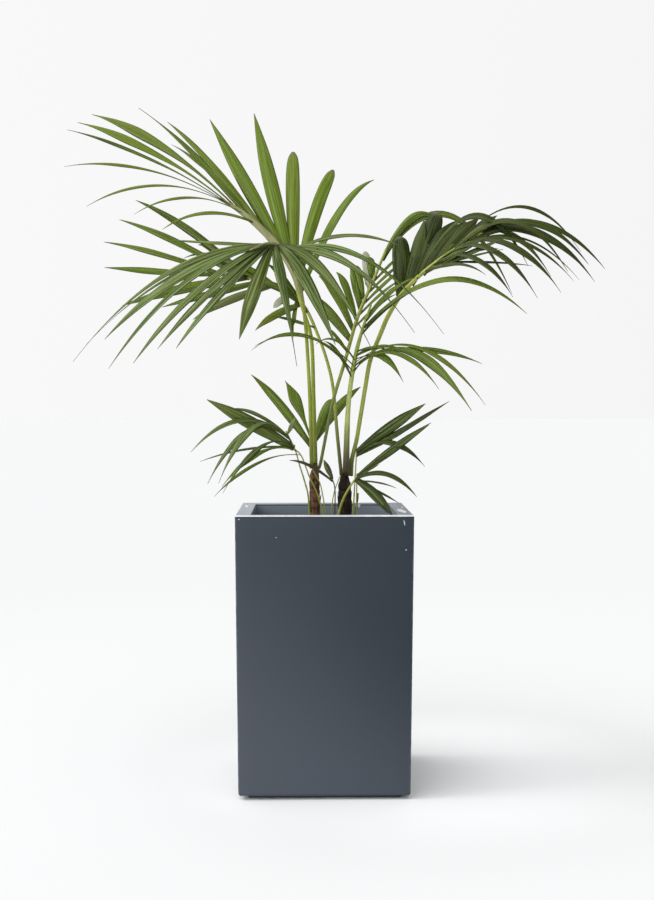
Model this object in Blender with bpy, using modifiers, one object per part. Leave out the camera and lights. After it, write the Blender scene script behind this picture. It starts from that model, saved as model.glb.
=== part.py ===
"""Kentia palm: two trunks, six large fronds and a ring of seedlings in a tall square planter.

Metres, +Z up. The origin is the centre of the planter's foot, where the planter stands.
-Y is the front. Every part is modelled in place, so all objects keep their origin at the world's.
"""
import math
from itertools import pairwise

import bmesh
import bpy
from mathutils import Matrix, Vector

# Planter
PLANTER_TOP = 0.315
PLANTER_BOTTOM = 0.303
PLANTER_HEIGHT = 0.500
RIM_WIDTH = 0.027
RIM_DEPTH = 0.030
RIM_UNDERSIDE = 0.012
WALL = 0.014
FLOOR_TOP = 0.026
FOOT_SIDE = 0.270
FOOT_HEIGHT = 0.007
LOWER_EDGE_ROUND = 0.005
CORNER_ROUND = 0.0030
CORNER_STEPS = 2
SHARP_ANGLE = math.radians(60)
DRAIN_RADIUS = 0.009
DRAIN_PLACE = (0.060, 0.060)

# Potting mix
MIX_TOP = 0.445
MIX_EDGE_DROP = 0.006
MIX_CROWN = 0.75
ROOTED_DEPTH = 0.025
TRUNK_DEPTH = 0.110
GAP = 0.0004
SOCKET_OVERRUN = 0.05
SOCKET_SIDES = 16
DRAIN_SIDES = 24
TRUNK_SIDES = 16

# Trunks: centre, radius at the soil, radius at the top, height of the top
TRUNKS = {
    "trunk_left": ((-0.016, 0.000), 0.0100, 0.0090, 0.574),
    "trunk_right": ((0.040, 0.000), 0.0130, 0.0115, 0.560),
}
STUB_ROUTE = [(0.0575, 0.000, MIX_TOP), (0.0575, 0.000, 0.485), (0.061, -0.001, 0.510), (0.065, -0.002, 0.531)]
STUB_RADIUS = (0.0028, 0.0020)

# Shape of a leaflet: its width is FOOT_SHARE of its widest where it grows, swells at FOOT_SWELL for
# each length, and closes towards its tip by the two TIP powers
BLADE_RINGS = 9
BLADE_SIDES = 4
BLADE_THICKNESS = 0.0020
FOOT_SHARE = 0.35
FOOT_SWELL = 2.2
TIP_START = 2.4
TIP_SHARPNESS = 0.9
TIP_HALF_WIDTH = 0.0006
LEAFLET_INSET = 0.02

# Stalks and stems
STALK_SIDES = 6
STALK_STEPS = 2
STALK_FACE = (0.3, -1.0, 0.2)

# A frond is its stalk's route, the stalk's radius at its foot and its tip, the side its leaflets turn
# up, and its leaflets. A leaflet is where it grows (0 the stalk's foot, 1 its tip), the point half
# way along it, its own tip and its width.
FRONDS = {
    "frond_upper_left": (
        [(-0.014, 0.005, 0.5760), (-0.020, 0.010, 0.705), (-0.024, 0.020, 0.815), (-0.032, 0.035, 0.893),
         (-0.038, 0.050, 0.965), (-0.063, 0.065, 1.003), (-0.113, 0.080, 1.040), (-0.160, 0.095, 1.072),
         (-0.196, 0.105, 1.097)],
        (0.0032, 0.0022),
        (0.2, -0.7, 0.7),
        [(0.64, (0.037, 0.090, 1.052), (0.105, 0.130, 1.135), 0.014),
         (0.69, (-0.005, 0.110, 1.086), (0.020, 0.160, 1.166), 0.021),
         (0.72, (-0.056, 0.120, 1.100), (-0.058, 0.170, 1.201), 0.025),
         (0.75, (-0.099, 0.110, 1.141), (-0.132, 0.150, 1.275), 0.023),
         (0.80, (-0.147, 0.110, 1.155), (-0.221, 0.130, 1.254), 0.023),
         (0.84, (-0.211, 0.100, 1.165), (-0.307, 0.100, 1.248), 0.014),
         (0.86, (-0.236, 0.130, 1.177), (-0.363, 0.150, 1.294), 0.013),
         (0.97, (-0.218, 0.115, 1.139), (-0.260, 0.125, 1.176), 0.007),
         (0.98, (-0.330, 0.135, 1.215), (-0.484, 0.150, 1.270), 0.016),
         (1.00, (-0.337, 0.110, 1.205), (-0.487, 0.100, 1.242), 0.023),
         (0.99, (-0.334, 0.085, 1.176), (-0.491, 0.065, 1.223), 0.016),
         (0.97, (-0.336, 0.065, 1.146), (-0.482, 0.040, 1.140), 0.014),
         (0.95, (-0.292, 0.050, 1.095), (-0.368, 0.010, 1.049), 0.011),
         (0.93, (-0.325, 0.035, 1.110), (-0.440, 0.000, 1.057), 0.013),
         (0.88, (-0.229, 0.045, 1.057), (-0.297, 0.010, 1.013), 0.012)],
    ),
    "frond_front": (
        [(-0.022, -0.006, 0.5760), (-0.023, -0.012, 0.703), (-0.027, -0.020, 0.796), (-0.034, -0.035, 0.849),
         (-0.042, -0.055, 0.903), (-0.054, -0.075, 0.946), (-0.068, -0.100, 0.979), (-0.096, -0.130, 0.981),
         (-0.127, -0.160, 0.960), (-0.156, -0.185, 0.938), (-0.193, -0.215, 0.901)],
        (0.0030, 0.0018),
        (0.1, -0.6, 0.8),
        [(0.64, (0.050, -0.100, 1.002), (0.160, -0.130, 0.974), 0.008),
         (0.66, (0.074, -0.130, 0.985), (0.200, -0.170, 0.844), 0.010),
         (0.68, (0.052, -0.150, 0.972), (0.151, -0.200, 0.818), 0.015),
         (0.70, (0.018, -0.170, 0.947), (0.078, -0.210, 0.787), 0.018),
         (0.72, (-0.019, -0.190, 0.910), (0.025, -0.220, 0.802), 0.021),
         (0.76, (-0.062, -0.220, 0.870), (-0.041, -0.250, 0.761), 0.019),
         (0.79, (-0.119, -0.240, 0.892), (-0.133, -0.270, 0.808), 0.023),
         (0.77, (-0.241, -0.100, 0.956), (-0.417, -0.120, 0.804), 0.011),
         (0.79, (-0.243, -0.120, 0.956), (-0.428, -0.150, 0.773), 0.009),
         (0.82, (-0.236, -0.150, 0.935), (-0.378, -0.190, 0.803), 0.013),
         (0.85, (-0.243, -0.180, 0.916), (-0.358, -0.220, 0.749), 0.009),
         (0.89, (-0.224, -0.200, 0.889), (-0.316, -0.230, 0.760), 0.011),
         (0.93, (-0.219, -0.225, 0.868), (-0.285, -0.250, 0.777), 0.012),
         (0.87, (-0.187, -0.240, 0.865), (-0.253, -0.270, 0.776), 0.012)],
    ),
    "frond_left": (
        [(0.034, 0.009, 0.5620), (0.026, 0.020, 0.645), (0.020, 0.040, 0.719), (0.011, 0.055, 0.767),
         (-0.007, 0.080, 0.823), (-0.036, 0.110, 0.887), (-0.076, 0.135, 0.921), (-0.120, 0.155, 0.940),
         (-0.168, 0.170, 0.951), (-0.235, 0.185, 0.959)],
        (0.0030, 0.0015),
        (0.1, -0.7, 0.7),
        [(0.55, (-0.061, 0.090, 0.857), (-0.102, 0.080, 0.870), 0.006),
         (0.66, (-0.073, 0.100, 0.875), (-0.073, 0.085, 0.834), 0.009),
         (0.70, (-0.108, 0.100, 0.881), (-0.140, 0.075, 0.842), 0.012),
         (0.76, (-0.101, 0.130, 0.911), (-0.103, 0.120, 0.890), 0.008),
         (0.81, (-0.203, 0.120, 0.898), (-0.259, 0.090, 0.858), 0.011),
         (0.90, (-0.255, 0.140, 0.903), (-0.325, 0.110, 0.882), 0.010),
         (0.94, (-0.304, 0.150, 0.920), (-0.389, 0.120, 0.884), 0.013),
         (1.00, (-0.339, 0.180, 0.971), (-0.440, 0.180, 0.974), 0.011),
         (0.97, (-0.326, 0.190, 1.000), (-0.436, 0.200, 1.022), 0.010),
         (0.93, (-0.307, 0.200, 1.025), (-0.420, 0.220, 1.069), 0.011),
         (0.95, (-0.266, 0.200, 0.997), (-0.305, 0.220, 1.005), 0.005),
         (0.89, (-0.264, 0.220, 1.029), (-0.342, 0.250, 1.037), 0.006),
         (0.87, (-0.275, 0.215, 1.040), (-0.393, 0.240, 1.105), 0.011)],
    ),
    "frond_back_right": (
        [(-0.0085, -0.005, 0.5760), (-0.0045, -0.010, 0.590), (0.003, -0.014, 0.629), (0.0175, -0.022, 0.703),
         (0.041, -0.015, 0.787), (0.068, 0.005, 0.876), (0.099, 0.025, 0.943), (0.123, 0.040, 0.981),
         (0.137, 0.050, 1.003)],
        (0.0024, 0.0018),
        (0.2, -0.8, 0.5),
        [(0.53, (0.031, -0.005, 0.832), (0.018, 0.000, 0.846), 0.006),
         (0.55, (0.009, 0.030, 0.861), (-0.028, 0.066, 0.901), 0.009),
         (0.60, (0.030, 0.020, 0.877), (0.005, 0.030, 0.904), 0.016),
         (0.63, (0.030, 0.040, 0.895), (-0.003, 0.060, 0.930), 0.014),
         (0.70, (0.058, 0.030, 0.919), (0.046, 0.050, 0.947), 0.019),
         (0.79, (0.074, 0.050, 0.948), (0.062, 0.065, 0.963), 0.012),
         (0.84, (0.095, 0.050, 0.969), (0.090, 0.060, 0.989), 0.017),
         (0.62, (0.085, 0.000, 0.866), (0.097, 0.005, 0.880), 0.009),
         (0.70, (0.098, 0.030, 0.898), (0.114, 0.045, 0.911), 0.011),
         (0.76, (0.113, 0.050, 0.925), (0.139, 0.070, 0.948), 0.015),
         (0.97, (0.167, 0.060, 1.044), (0.223, 0.060, 1.060), 0.012),
         (1.00, (0.213, 0.100, 1.077), (0.382, 0.090, 0.927), 0.014)],
    ),
    "frond_middle": (
        [(0.042, -0.007, 0.5620), (0.044, -0.010, 0.646), (0.0465, -0.015, 0.696), (0.051, -0.022, 0.737),
         (0.056, -0.030, 0.768), (0.058, -0.040, 0.795), (0.063, -0.050, 0.819), (0.073, -0.070, 0.861),
         (0.087, -0.085, 0.889)],
        (0.0050, 0.0018),
        (0.0, -0.7, 0.7),
        [(0.55, (0.034, -0.040, 0.782), (0.017, -0.050, 0.791), 0.007),
         (0.63, (-0.034, -0.060, 0.816), (-0.138, -0.060, 0.791), 0.009),
         (0.67, (-0.025, -0.075, 0.819), (-0.123, -0.090, 0.797), 0.008),
         (0.54, (0.101, -0.075, 0.770), (0.130, -0.090, 0.730), 0.008),
         (0.57, (0.126, -0.110, 0.773), (0.182, -0.140, 0.715), 0.009),
         (0.60, (0.156, -0.120, 0.762), (0.237, -0.160, 0.673), 0.012),
         (0.63, (0.174, -0.100, 0.768), (0.265, -0.140, 0.678), 0.009),
         (0.66, (0.165, -0.080, 0.777), (0.277, -0.110, 0.750), 0.008),
         (0.69, (0.103, -0.055, 0.793), (0.141, -0.065, 0.786), 0.006),
         (0.79, (0.191, -0.085, 0.899), (0.355, -0.120, 0.835), 0.011),
         (0.84, (0.190, -0.100, 0.907), (0.357, -0.140, 0.841), 0.011),
         (0.93, (0.109, -0.080, 0.890), (0.132, -0.085, 0.911), 0.012),
         (1.00, (0.107, -0.078, 0.913), (0.130, -0.068, 0.934), 0.015)],
    ),
    "frond_right": (
        [(0.049, 0.005, 0.5620), (0.054, 0.000, 0.595), (0.062, -0.004, 0.629), (0.070, -0.010, 0.678),
         (0.078, -0.015, 0.728), (0.087, -0.022, 0.778), (0.107, -0.032, 0.827), (0.124, -0.040, 0.863),
         (0.143, -0.050, 0.903), (0.165, -0.060, 0.920), (0.188, -0.067, 0.940), (0.211, -0.074, 0.961),
         (0.232, -0.080, 0.987), (0.253, -0.086, 1.006), (0.280, -0.095, 1.023)],
        (0.0036, 0.0016),
        (0.1, -0.6, 0.8),
        [(0.66, (0.145, -0.030, 0.956), (0.140, -0.020, 1.007), 0.025),
         (0.70, (0.163, -0.030, 0.977), (0.172, -0.010, 1.035), 0.020),
         (0.74, (0.185, -0.035, 0.993), (0.198, -0.010, 1.053), 0.022),
         (0.79, (0.207, -0.040, 1.003), (0.230, -0.015, 1.053), 0.020),
         (0.83, (0.225, -0.045, 1.010), (0.264, -0.020, 1.050), 0.018),
         (0.85, (0.257, -0.020, 1.063), (0.379, 0.000, 1.066), 0.008),
         (0.87, (0.255, -0.050, 1.026), (0.311, -0.030, 1.051), 0.014),
         (0.91, (0.296, -0.060, 1.028), (0.354, -0.060, 1.017), 0.014),
         (0.92, (0.335, -0.030, 1.062), (0.470, -0.020, 1.015), 0.009),
         (1.00, (0.405, -0.060, 1.030), (0.519, -0.050, 0.967), 0.010),
         (0.98, (0.403, -0.090, 1.020), (0.501, -0.090, 0.952), 0.009),
         (0.96, (0.382, -0.110, 1.018), (0.468, -0.120, 0.953), 0.015),
         (0.94, (0.374, -0.125, 1.007), (0.458, -0.140, 0.948), 0.006),
         (0.92, (0.377, -0.140, 0.999), (0.464, -0.170, 0.914), 0.009),
         (0.90, (0.334, -0.120, 1.018), (0.393, -0.160, 0.921), 0.010),
         (0.88, (0.351, -0.155, 1.001), (0.432, -0.190, 0.917), 0.009),
         (0.86, (0.340, -0.170, 0.989), (0.420, -0.200, 0.911), 0.007),
         (0.83, (0.328, -0.190, 0.976), (0.405, -0.220, 0.899), 0.010),
         (0.80, (0.310, -0.200, 0.961), (0.365, -0.240, 0.873), 0.011),
         (0.775, (0.277, -0.210, 0.949), (0.331, -0.250, 0.863), 0.012),
         (0.75, (0.257, -0.190, 0.934), (0.305, -0.220, 0.863), 0.011),
         (0.72, (0.225, -0.160, 0.934), (0.273, -0.180, 0.904), 0.009)],
    ),
    "seedling_left": (
        [(-0.026, -0.030, 0.421), (-0.026, -0.030, 0.460), (-0.028, -0.031, 0.522), (-0.034, -0.035, 0.550),
         (-0.045, -0.045, 0.586), (-0.053, -0.055, 0.614), (-0.069, -0.070, 0.647)],
        (0.0016, 0.0012),
        (0.0, -0.6, 0.8),
        [(0.85, (-0.142, -0.090, 0.617), (-0.234, -0.120, 0.598), 0.006),
         (0.88, (-0.133, -0.100, 0.660), (-0.205, -0.130, 0.700), 0.023),
         (1.00, (-0.145, -0.120, 0.675), (-0.239, -0.160, 0.622), 0.010),
         (0.99, (-0.123, -0.090, 0.680), (-0.173, -0.100, 0.691), 0.007),
         (0.98, (-0.150, -0.130, 0.650), (-0.202, -0.170, 0.564), 0.009),
         (0.97, (-0.136, -0.150, 0.638), (-0.177, -0.190, 0.561), 0.012),
         (1.00, (-0.062, -0.070, 0.660), (-0.053, -0.070, 0.672), 0.008)],
    ),
    "seedling_low_left": (
        [(-0.001, -0.045, 0.421), (-0.001, -0.045, 0.460), (-0.001, -0.045, 0.494), (-0.007, -0.045, 0.516),
         (-0.014, -0.050, 0.537), (-0.027, -0.060, 0.565), (-0.040, -0.070, 0.600), (-0.053, -0.080, 0.615)],
        (0.0015, 0.0012),
        (0.0, -0.6, 0.8),
        [(1.00, (-0.125, -0.120, 0.614), (-0.178, -0.160, 0.546), 0.011),
         (0.96, (-0.133, -0.100, 0.610), (-0.206, -0.130, 0.551), 0.009)],
    ),
    "seedling_back": (
        [(-0.018, 0.040, 0.421), (-0.018, 0.040, 0.460), (-0.018, 0.045, 0.550), (-0.019, 0.050, 0.627)],
        (0.0018, 0.0014),
        (0.0, -0.8, 0.6),
        [(1.00, (-0.067, 0.080, 0.696), (-0.142, 0.110, 0.765), 0.017),
         (0.98, (-0.038, 0.070, 0.692), (-0.075, 0.090, 0.748), 0.018),
         (1.00, (-0.007, 0.070, 0.704), (0.039, 0.080, 0.721), 0.014),
         (0.97, (0.026, 0.080, 0.692), (0.075, 0.090, 0.733), 0.014)],
    ),
    "seedling_right": (
        [(0.053, -0.029, 0.421), (0.053, -0.029, 0.460), (0.057, -0.029, 0.537), (0.061, -0.033, 0.611)],
        (0.0016, 0.0012),
        (0.0, -0.7, 0.7),
        [(1.00, (0.121, -0.060, 0.658), (0.185, -0.080, 0.701), 0.022),
         (0.98, (0.140, -0.075, 0.651), (0.212, -0.100, 0.700), 0.008),
         (0.97, (0.121, -0.080, 0.640), (0.187, -0.110, 0.588), 0.010)],
    ),
    "seedling_low_right": (
        [(0.060, -0.045, 0.421), (0.060, -0.045, 0.460), (0.060, -0.048, 0.510), (0.061, -0.050, 0.569)],
        (0.0015, 0.0012),
        (0.0, -0.7, 0.7),
        [(1.00, (0.130, -0.100, 0.626), (0.192, -0.130, 0.673), 0.012),
         (0.98, (0.127, -0.080, 0.620), (0.181, -0.100, 0.662), 0.008)],
    ),
    "seedling_front": (
        [(0.026, -0.064, 0.421), (0.026, -0.064, 0.460), (0.0275, -0.065, 0.496), (0.035, -0.070, 0.522),
         (0.045, -0.075, 0.542), (0.060, -0.080, 0.566)],
        (0.0018, 0.0013),
        (0.0, -0.5, 0.9),
        [(0.97, (0.085, -0.090, 0.575), (0.102, -0.095, 0.590), 0.006),
         (1.00, (0.106, -0.100, 0.574), (0.161, -0.120, 0.532), 0.009),
         (0.99, (0.094, -0.110, 0.544), (0.124, -0.145, 0.505), 0.018),
         (0.96, (0.100, -0.100, 0.552), (0.135, -0.110, 0.524), 0.006),
         (0.95, (0.097, -0.088, 0.556), (0.136, -0.094, 0.550), 0.006)],
    ),
    "withered_leaf": (
        [(0.018, -0.084, 0.421), (0.018, -0.084, 0.460), (0.020, -0.085, 0.537), (0.014, -0.085, 0.564)],
        (0.0014, 0.0010),
        (0.0, -0.9, 0.4),
        [(1.00, (-0.020, -0.100, 0.588), (-0.061, -0.105, 0.601), 0.006),
         (0.98, (0.005, -0.087, 0.584), (-0.006, -0.088, 0.600), 0.009)],
    ),
}

# Thin stems of seedlings whose leaf is gone: route and radius
BARE_STEMS = {
    "bare_stem_left": [(0.006, -0.024, 0.421), (0.006, -0.024, 0.460), (0.004, -0.024, 0.493),
                       (-0.005, -0.024, 0.544), (-0.014, -0.025, 0.563), (-0.023, -0.030, 0.581)],
    "bare_stem_right": [(0.015, -0.023, 0.421), (0.015, -0.023, 0.460), (0.0145, -0.022, 0.493),
                        (0.019, -0.021, 0.529), (0.030, -0.021, 0.562)],
}
BARE_STEM_RADIUS = (0.0012, 0.0009)

# Base colour, roughness
FINISHES = {
    "fibre_clay": ((0.062, 0.077, 0.096), 0.75),
    "soil": ((0.035, 0.022, 0.014), 0.95),
    "bark": ((0.075, 0.040, 0.018), 0.85),
    "frond_green": ((0.070, 0.130, 0.030), 0.45),
    "withered": ((0.070, 0.045, 0.025), 0.80),
}


def clear_scene():
    for old in list(bpy.data.objects):
        bpy.data.objects.remove(old, do_unlink=True)


def new_collection(name):
    collection = bpy.data.collections.new(name)
    bpy.context.scene.collection.children.link(collection)
    return collection


def finish(name, colour, roughness):
    """A painted or grown surface: one Principled material, nothing metallic."""
    material = bpy.data.materials.new(name)
    material.use_nodes = True
    shader = material.node_tree.nodes["Principled BSDF"]
    shader.inputs["Base Color"].default_value = (*colour, 1.0)
    shader.inputs["Roughness"].default_value = roughness
    shader.inputs["Metallic"].default_value = 0.0
    material.diffuse_color = (*colour, 1.0)
    return material


def add_object(name, shape, collection, material=None):
    """Turn a finished bmesh into a named object."""
    mesh = bpy.data.meshes.new(name)
    bmesh.ops.recalc_face_normals(shape, faces=shape.faces)
    shape.to_mesh(mesh)
    shape.free()
    part = bpy.data.objects.new(name, mesh)
    if material:
        mesh.materials.append(material)
    else:
        part.hide_render = True
        part.display_type = "WIRE"
    collection.objects.link(part)
    return part


def boolean(part, operation, cutter, use_self=False):
    step = part.modifiers.new(operation.lower(), "BOOLEAN")
    step.operation = operation
    step.object = cutter
    step.solver = "EXACT"
    step.use_self = use_self


def smooth_route(points, steps):
    """Points on a smooth curve through the route's own points, `steps` to each stretch."""
    knots = [Vector(point) for point in points]
    knots = [2 * knots[0] - knots[1], *knots, 2 * knots[-1] - knots[-2]]
    route = []
    for before, start, end, after in zip(knots, knots[1:], knots[2:], knots[3:]):
        for step in range(steps):
            t = step / steps
            route.append(0.5 * ((2 * start) + (end - before) * t
                                + (2 * before - 5 * start + 4 * end - after) * t**2
                                + (3 * start - before - 3 * end + after) * t**3))
    route.append(knots[-2])
    return route


def point_at(route, place):
    """The point a fraction of the way along a route."""
    lengths = [(end - start).length for start, end in pairwise(route)]
    left = place * sum(lengths)
    for start, end, length in zip(route, route[1:], lengths):
        if left <= length:
            return start.lerp(end, left / length)
        left -= length
    return route[-1].copy()


def arc_through(start, middle, end, steps):
    """A bow from start to end that passes through middle half way."""
    bend = 2 * middle - (start + end) / 2
    arc = []
    for step in range(steps + 1):
        t = step / steps
        arc.append((1 - t) ** 2 * start + 2 * t * (1 - t) * bend + t**2 * end)
    return arc


def frames_along(route, face, half_widths, half_depths):
    """A frame at each point: X across the route, Y towards the face, Z along the route."""
    frames = []
    last = len(route) - 1
    for index, point in enumerate(route):
        along = (route[min(index + 1, last)] - route[max(index - 1, 0)]).normalized()
        across = along.cross(face).normalized()
        up = across.cross(along)
        turn = Matrix((across * half_widths[index], up * half_depths[index], along)).transposed().to_4x4()
        frames.append(Matrix.Translation(point) @ turn)
    return frames


def sweep(shape, frames, sides):
    """Extrude a closed end face from frame to frame."""
    ring = bmesh.ops.create_circle(shape, cap_ends=True, segments=sides, radius=1.0, matrix=frames[0])
    end_face = ring["verts"][0].link_faces[0]
    for before, after in pairwise(frames):
        inner_face = end_face
        grown = bmesh.ops.extrude_face_region(shape, geom=[inner_face])["geom"]
        end_face = next(part for part in grown if isinstance(part, bmesh.types.BMFace))
        bmesh.ops.transform(shape, matrix=after @ before.inverted(), verts=end_face.verts)
        if before is not frames[0]:
            bmesh.ops.delete(shape, geom=[inner_face], context="FACES_ONLY")


def tube(shape, route, radii):
    """A round stem along a route, thinning evenly from its foot to its tip."""
    last = len(route) - 1
    widths = [radii[0] + (radii[1] - radii[0]) * index / last for index in range(last + 1)]
    sweep(shape, frames_along(route, Vector(STALK_FACE), widths, widths), STALK_SIDES)


def blade(shape, start, middle, tip, width, face):
    """A leaflet: narrow where it grows, widest a third of the way along, then a long point."""
    route = arc_through(start, middle, tip, BLADE_RINGS)
    halves = []
    for index in range(BLADE_RINGS + 1):
        t = index / BLADE_RINGS
        swell = min(1.0, FOOT_SHARE + FOOT_SWELL * t)
        halves.append(max(TIP_HALF_WIDTH, width / 2 * swell * (1 - t**TIP_START) ** TIP_SHARPNESS))
    depths = [min(BLADE_THICKNESS / 2, half) for half in halves]
    sweep(shape, frames_along(route, face, halves, depths), BLADE_SIDES)


def make_frond(name, design, parts, cutters, material):
    """One frond: its stalk joined with its leaflets into one body."""
    stalk_points, radii, face, leaflets = design
    route = smooth_route(stalk_points, STALK_STEPS)
    stalk = bmesh.new()
    tube(stalk, route, radii)
    frond = add_object(name, stalk, parts, material)
    leaves = bmesh.new()
    for place, middle, tip, width in leaflets:
        start = point_at(route, place - LEAFLET_INSET)
        blade(leaves, start, Vector(middle), Vector(tip), width, Vector(face).normalized())
    boolean(frond, "UNION", add_object(f"{name}_leaflets", leaves, cutters), use_self=True)


def square_ring(shape, edges, side, height):
    """Grow the open square upwards or inwards to a new side and height."""
    grown = bmesh.ops.extrude_edge_only(shape, edges=edges)["geom"]
    for vert in (part for part in grown if isinstance(part, bmesh.types.BMVert)):
        vert.co = Vector((math.copysign(side / 2, vert.co.x), math.copysign(side / 2, vert.co.y), height))
    return [part for part in grown if isinstance(part, bmesh.types.BMEdge)]


def square_shell(base_side, base_height, rings):
    """A closed square shell: a base, then one ring of walls after another, and a lid."""
    shape = bmesh.new()
    base = Matrix.Translation((0, 0, base_height))
    bmesh.ops.create_grid(shape, x_segments=1, y_segments=1, size=base_side / 2, matrix=base)
    edges = shape.edges[:]
    for side, height in rings:
        edges = square_ring(shape, edges, side, height)
    bmesh.ops.contextual_create(shape, geom=edges)
    return shape


def wall_side(height):
    """The planter's outer side at a height on its sloping wall."""
    return PLANTER_BOTTOM + (PLANTER_TOP - PLANTER_BOTTOM) * height / PLANTER_HEIGHT


def cavity_side(height):
    """The side of the planter's cavity below the rim, which narrows like the wall outside it."""
    return wall_side(height) - 2 * WALL


def make_planter(parts, cutters, material):
    """One moulded shell on a set-back foot, with a turned-in rim and a drain hole through its floor."""
    rim_bottom = PLANTER_HEIGHT - RIM_DEPTH
    wall_top = rim_bottom - RIM_UNDERSIDE
    mouth = PLANTER_TOP - 2 * RIM_WIDTH
    rings = [
        (FOOT_SIDE, FOOT_HEIGHT),
        (wall_side(0) - 2 * LOWER_EDGE_ROUND, FOOT_HEIGHT),
        (wall_side(0), FOOT_HEIGHT + LOWER_EDGE_ROUND),
        (wall_side(PLANTER_HEIGHT), PLANTER_HEIGHT),
        (mouth, PLANTER_HEIGHT),
        (mouth, rim_bottom),
        (cavity_side(wall_top), wall_top),
        (cavity_side(FLOOR_TOP), FLOOR_TOP),
    ]
    planter = add_object("planter", square_shell(FOOT_SIDE, 0, rings), parts, material)
    rounding = planter.modifiers.new("rounded edges", "BEVEL")
    rounding.width = CORNER_ROUND
    rounding.segments = CORNER_STEPS
    rounding.limit_method = "ANGLE"
    rounding.angle_limit = SHARP_ANGLE
    drain = bmesh.new()
    place = Matrix.Translation((*DRAIN_PLACE, FLOOR_TOP / 2))
    bmesh.ops.create_cone(drain, cap_ends=True, segments=DRAIN_SIDES, radius1=DRAIN_RADIUS, radius2=DRAIN_RADIUS,
                          depth=2 * FLOOR_TOP, matrix=place)
    boolean(planter, "DIFFERENCE", add_object("drain_cutter", drain, cutters))


def make_potting_mix(parts, cutters, material):
    """The block of potting mix, a little lower at its edges, with a socket for every stem."""
    clearance = 2 * CORNER_ROUND
    rings = [
        (cavity_side(MIX_TOP - MIX_EDGE_DROP) - clearance, MIX_TOP - MIX_EDGE_DROP),
        (cavity_side(MIX_TOP) * MIX_CROWN, MIX_TOP),
    ]
    base = FLOOR_TOP + GAP
    mix = add_object("potting_mix", square_shell(cavity_side(base) - clearance, base, rings), parts, material)
    sockets = bmesh.new()
    for place, radius, depth in stem_feet():
        foot = MIX_TOP - depth - GAP
        height = MIX_TOP + SOCKET_OVERRUN - foot
        centre = Matrix.Translation((*place, foot + height / 2))
        bmesh.ops.create_cone(sockets, cap_ends=True, segments=SOCKET_SIDES, radius1=radius, radius2=radius,
                              depth=height, matrix=centre)
    boolean(mix, "DIFFERENCE", add_object("socket_cutter", sockets, cutters))


def stem_feet():
    """Where each stem enters the mix: its place, the socket's radius and its depth."""
    feet = [(centre, radius + 2 * GAP, TRUNK_DEPTH) for centre, radius, _, _ in TRUNKS.values()]
    thin = [(design[0][0], design[1][0]) for design in FRONDS.values() if design[0][0][2] < MIX_TOP]
    thin += [(route[0], BARE_STEM_RADIUS[0]) for route in BARE_STEMS.values()]
    feet += [((foot[0], foot[1]), radius + 2 * GAP, ROOTED_DEPTH) for foot, radius in thin]
    return feet


def make_trunk(name, design, parts, material):
    """A short trunk, slightly thinner at its top, rooted well into the mix."""
    (x, y), foot_radius, top_radius, top = design
    heights = [MIX_TOP - TRUNK_DEPTH, MIX_TOP, (MIX_TOP + top) / 2, top]
    radii = [foot_radius, foot_radius, (foot_radius + top_radius) / 2, top_radius]
    shape = bmesh.new()
    route = [Vector((x, y, height)) for height in heights]
    sweep(shape, frames_along(route, Vector((0, -1, 0)), radii, radii), TRUNK_SIDES)
    add_object(name, shape, parts, material)


def make_stem(name, points, radii, parts, material):
    shape = bmesh.new()
    tube(shape, smooth_route(points, STALK_STEPS), radii)
    add_object(name, shape, parts, material)


def build():
    clear_scene()
    parts = new_collection("potted palm")
    cutters = new_collection("cutters")
    finishes = {name: finish(name, *look) for name, look in FINISHES.items()}
    make_planter(parts, cutters, finishes["fibre_clay"])
    make_potting_mix(parts, cutters, finishes["soil"])
    for name, design in TRUNKS.items():
        make_trunk(name, design, parts, finishes["bark"])
    stub_foot = [(x, y, max(z, MIX_TOP + GAP)) for x, y, z in STUB_ROUTE]
    make_stem("old_stalk_stub", stub_foot, STUB_RADIUS, parts, finishes["withered"])
    for name, design in FRONDS.items():
        look = "withered" if name == "withered_leaf" else "frond_green"
        make_frond(name, design, parts, cutters, finishes[look])
    for name, points in BARE_STEMS.items():
        make_stem(name, points, BARE_STEM_RADIUS, parts, finishes["frond_green"])


build()
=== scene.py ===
import math
import random
from itertools import pairwise

import bmesh
import bpy
from mathutils import Matrix, Vector, noise


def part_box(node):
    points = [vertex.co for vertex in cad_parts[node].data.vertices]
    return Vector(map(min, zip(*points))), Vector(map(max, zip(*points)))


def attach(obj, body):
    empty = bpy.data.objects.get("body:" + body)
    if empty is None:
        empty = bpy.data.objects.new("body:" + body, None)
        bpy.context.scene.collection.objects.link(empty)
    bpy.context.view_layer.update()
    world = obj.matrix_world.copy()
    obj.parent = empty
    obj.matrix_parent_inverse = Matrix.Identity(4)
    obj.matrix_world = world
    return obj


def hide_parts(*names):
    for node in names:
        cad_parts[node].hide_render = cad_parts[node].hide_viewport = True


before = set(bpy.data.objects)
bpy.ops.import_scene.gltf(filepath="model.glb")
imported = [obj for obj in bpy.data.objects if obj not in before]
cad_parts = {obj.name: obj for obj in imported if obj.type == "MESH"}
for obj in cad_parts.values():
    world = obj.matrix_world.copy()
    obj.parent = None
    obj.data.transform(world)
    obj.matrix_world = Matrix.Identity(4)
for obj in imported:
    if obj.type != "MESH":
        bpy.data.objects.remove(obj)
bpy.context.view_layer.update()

# Kentia palm with its seedlings in a tall square planter. Metres, +Z up, -Y is the front.
UP = Vector((0, 0, 1))
FRONT = Vector((0, -1, 0))

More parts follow.
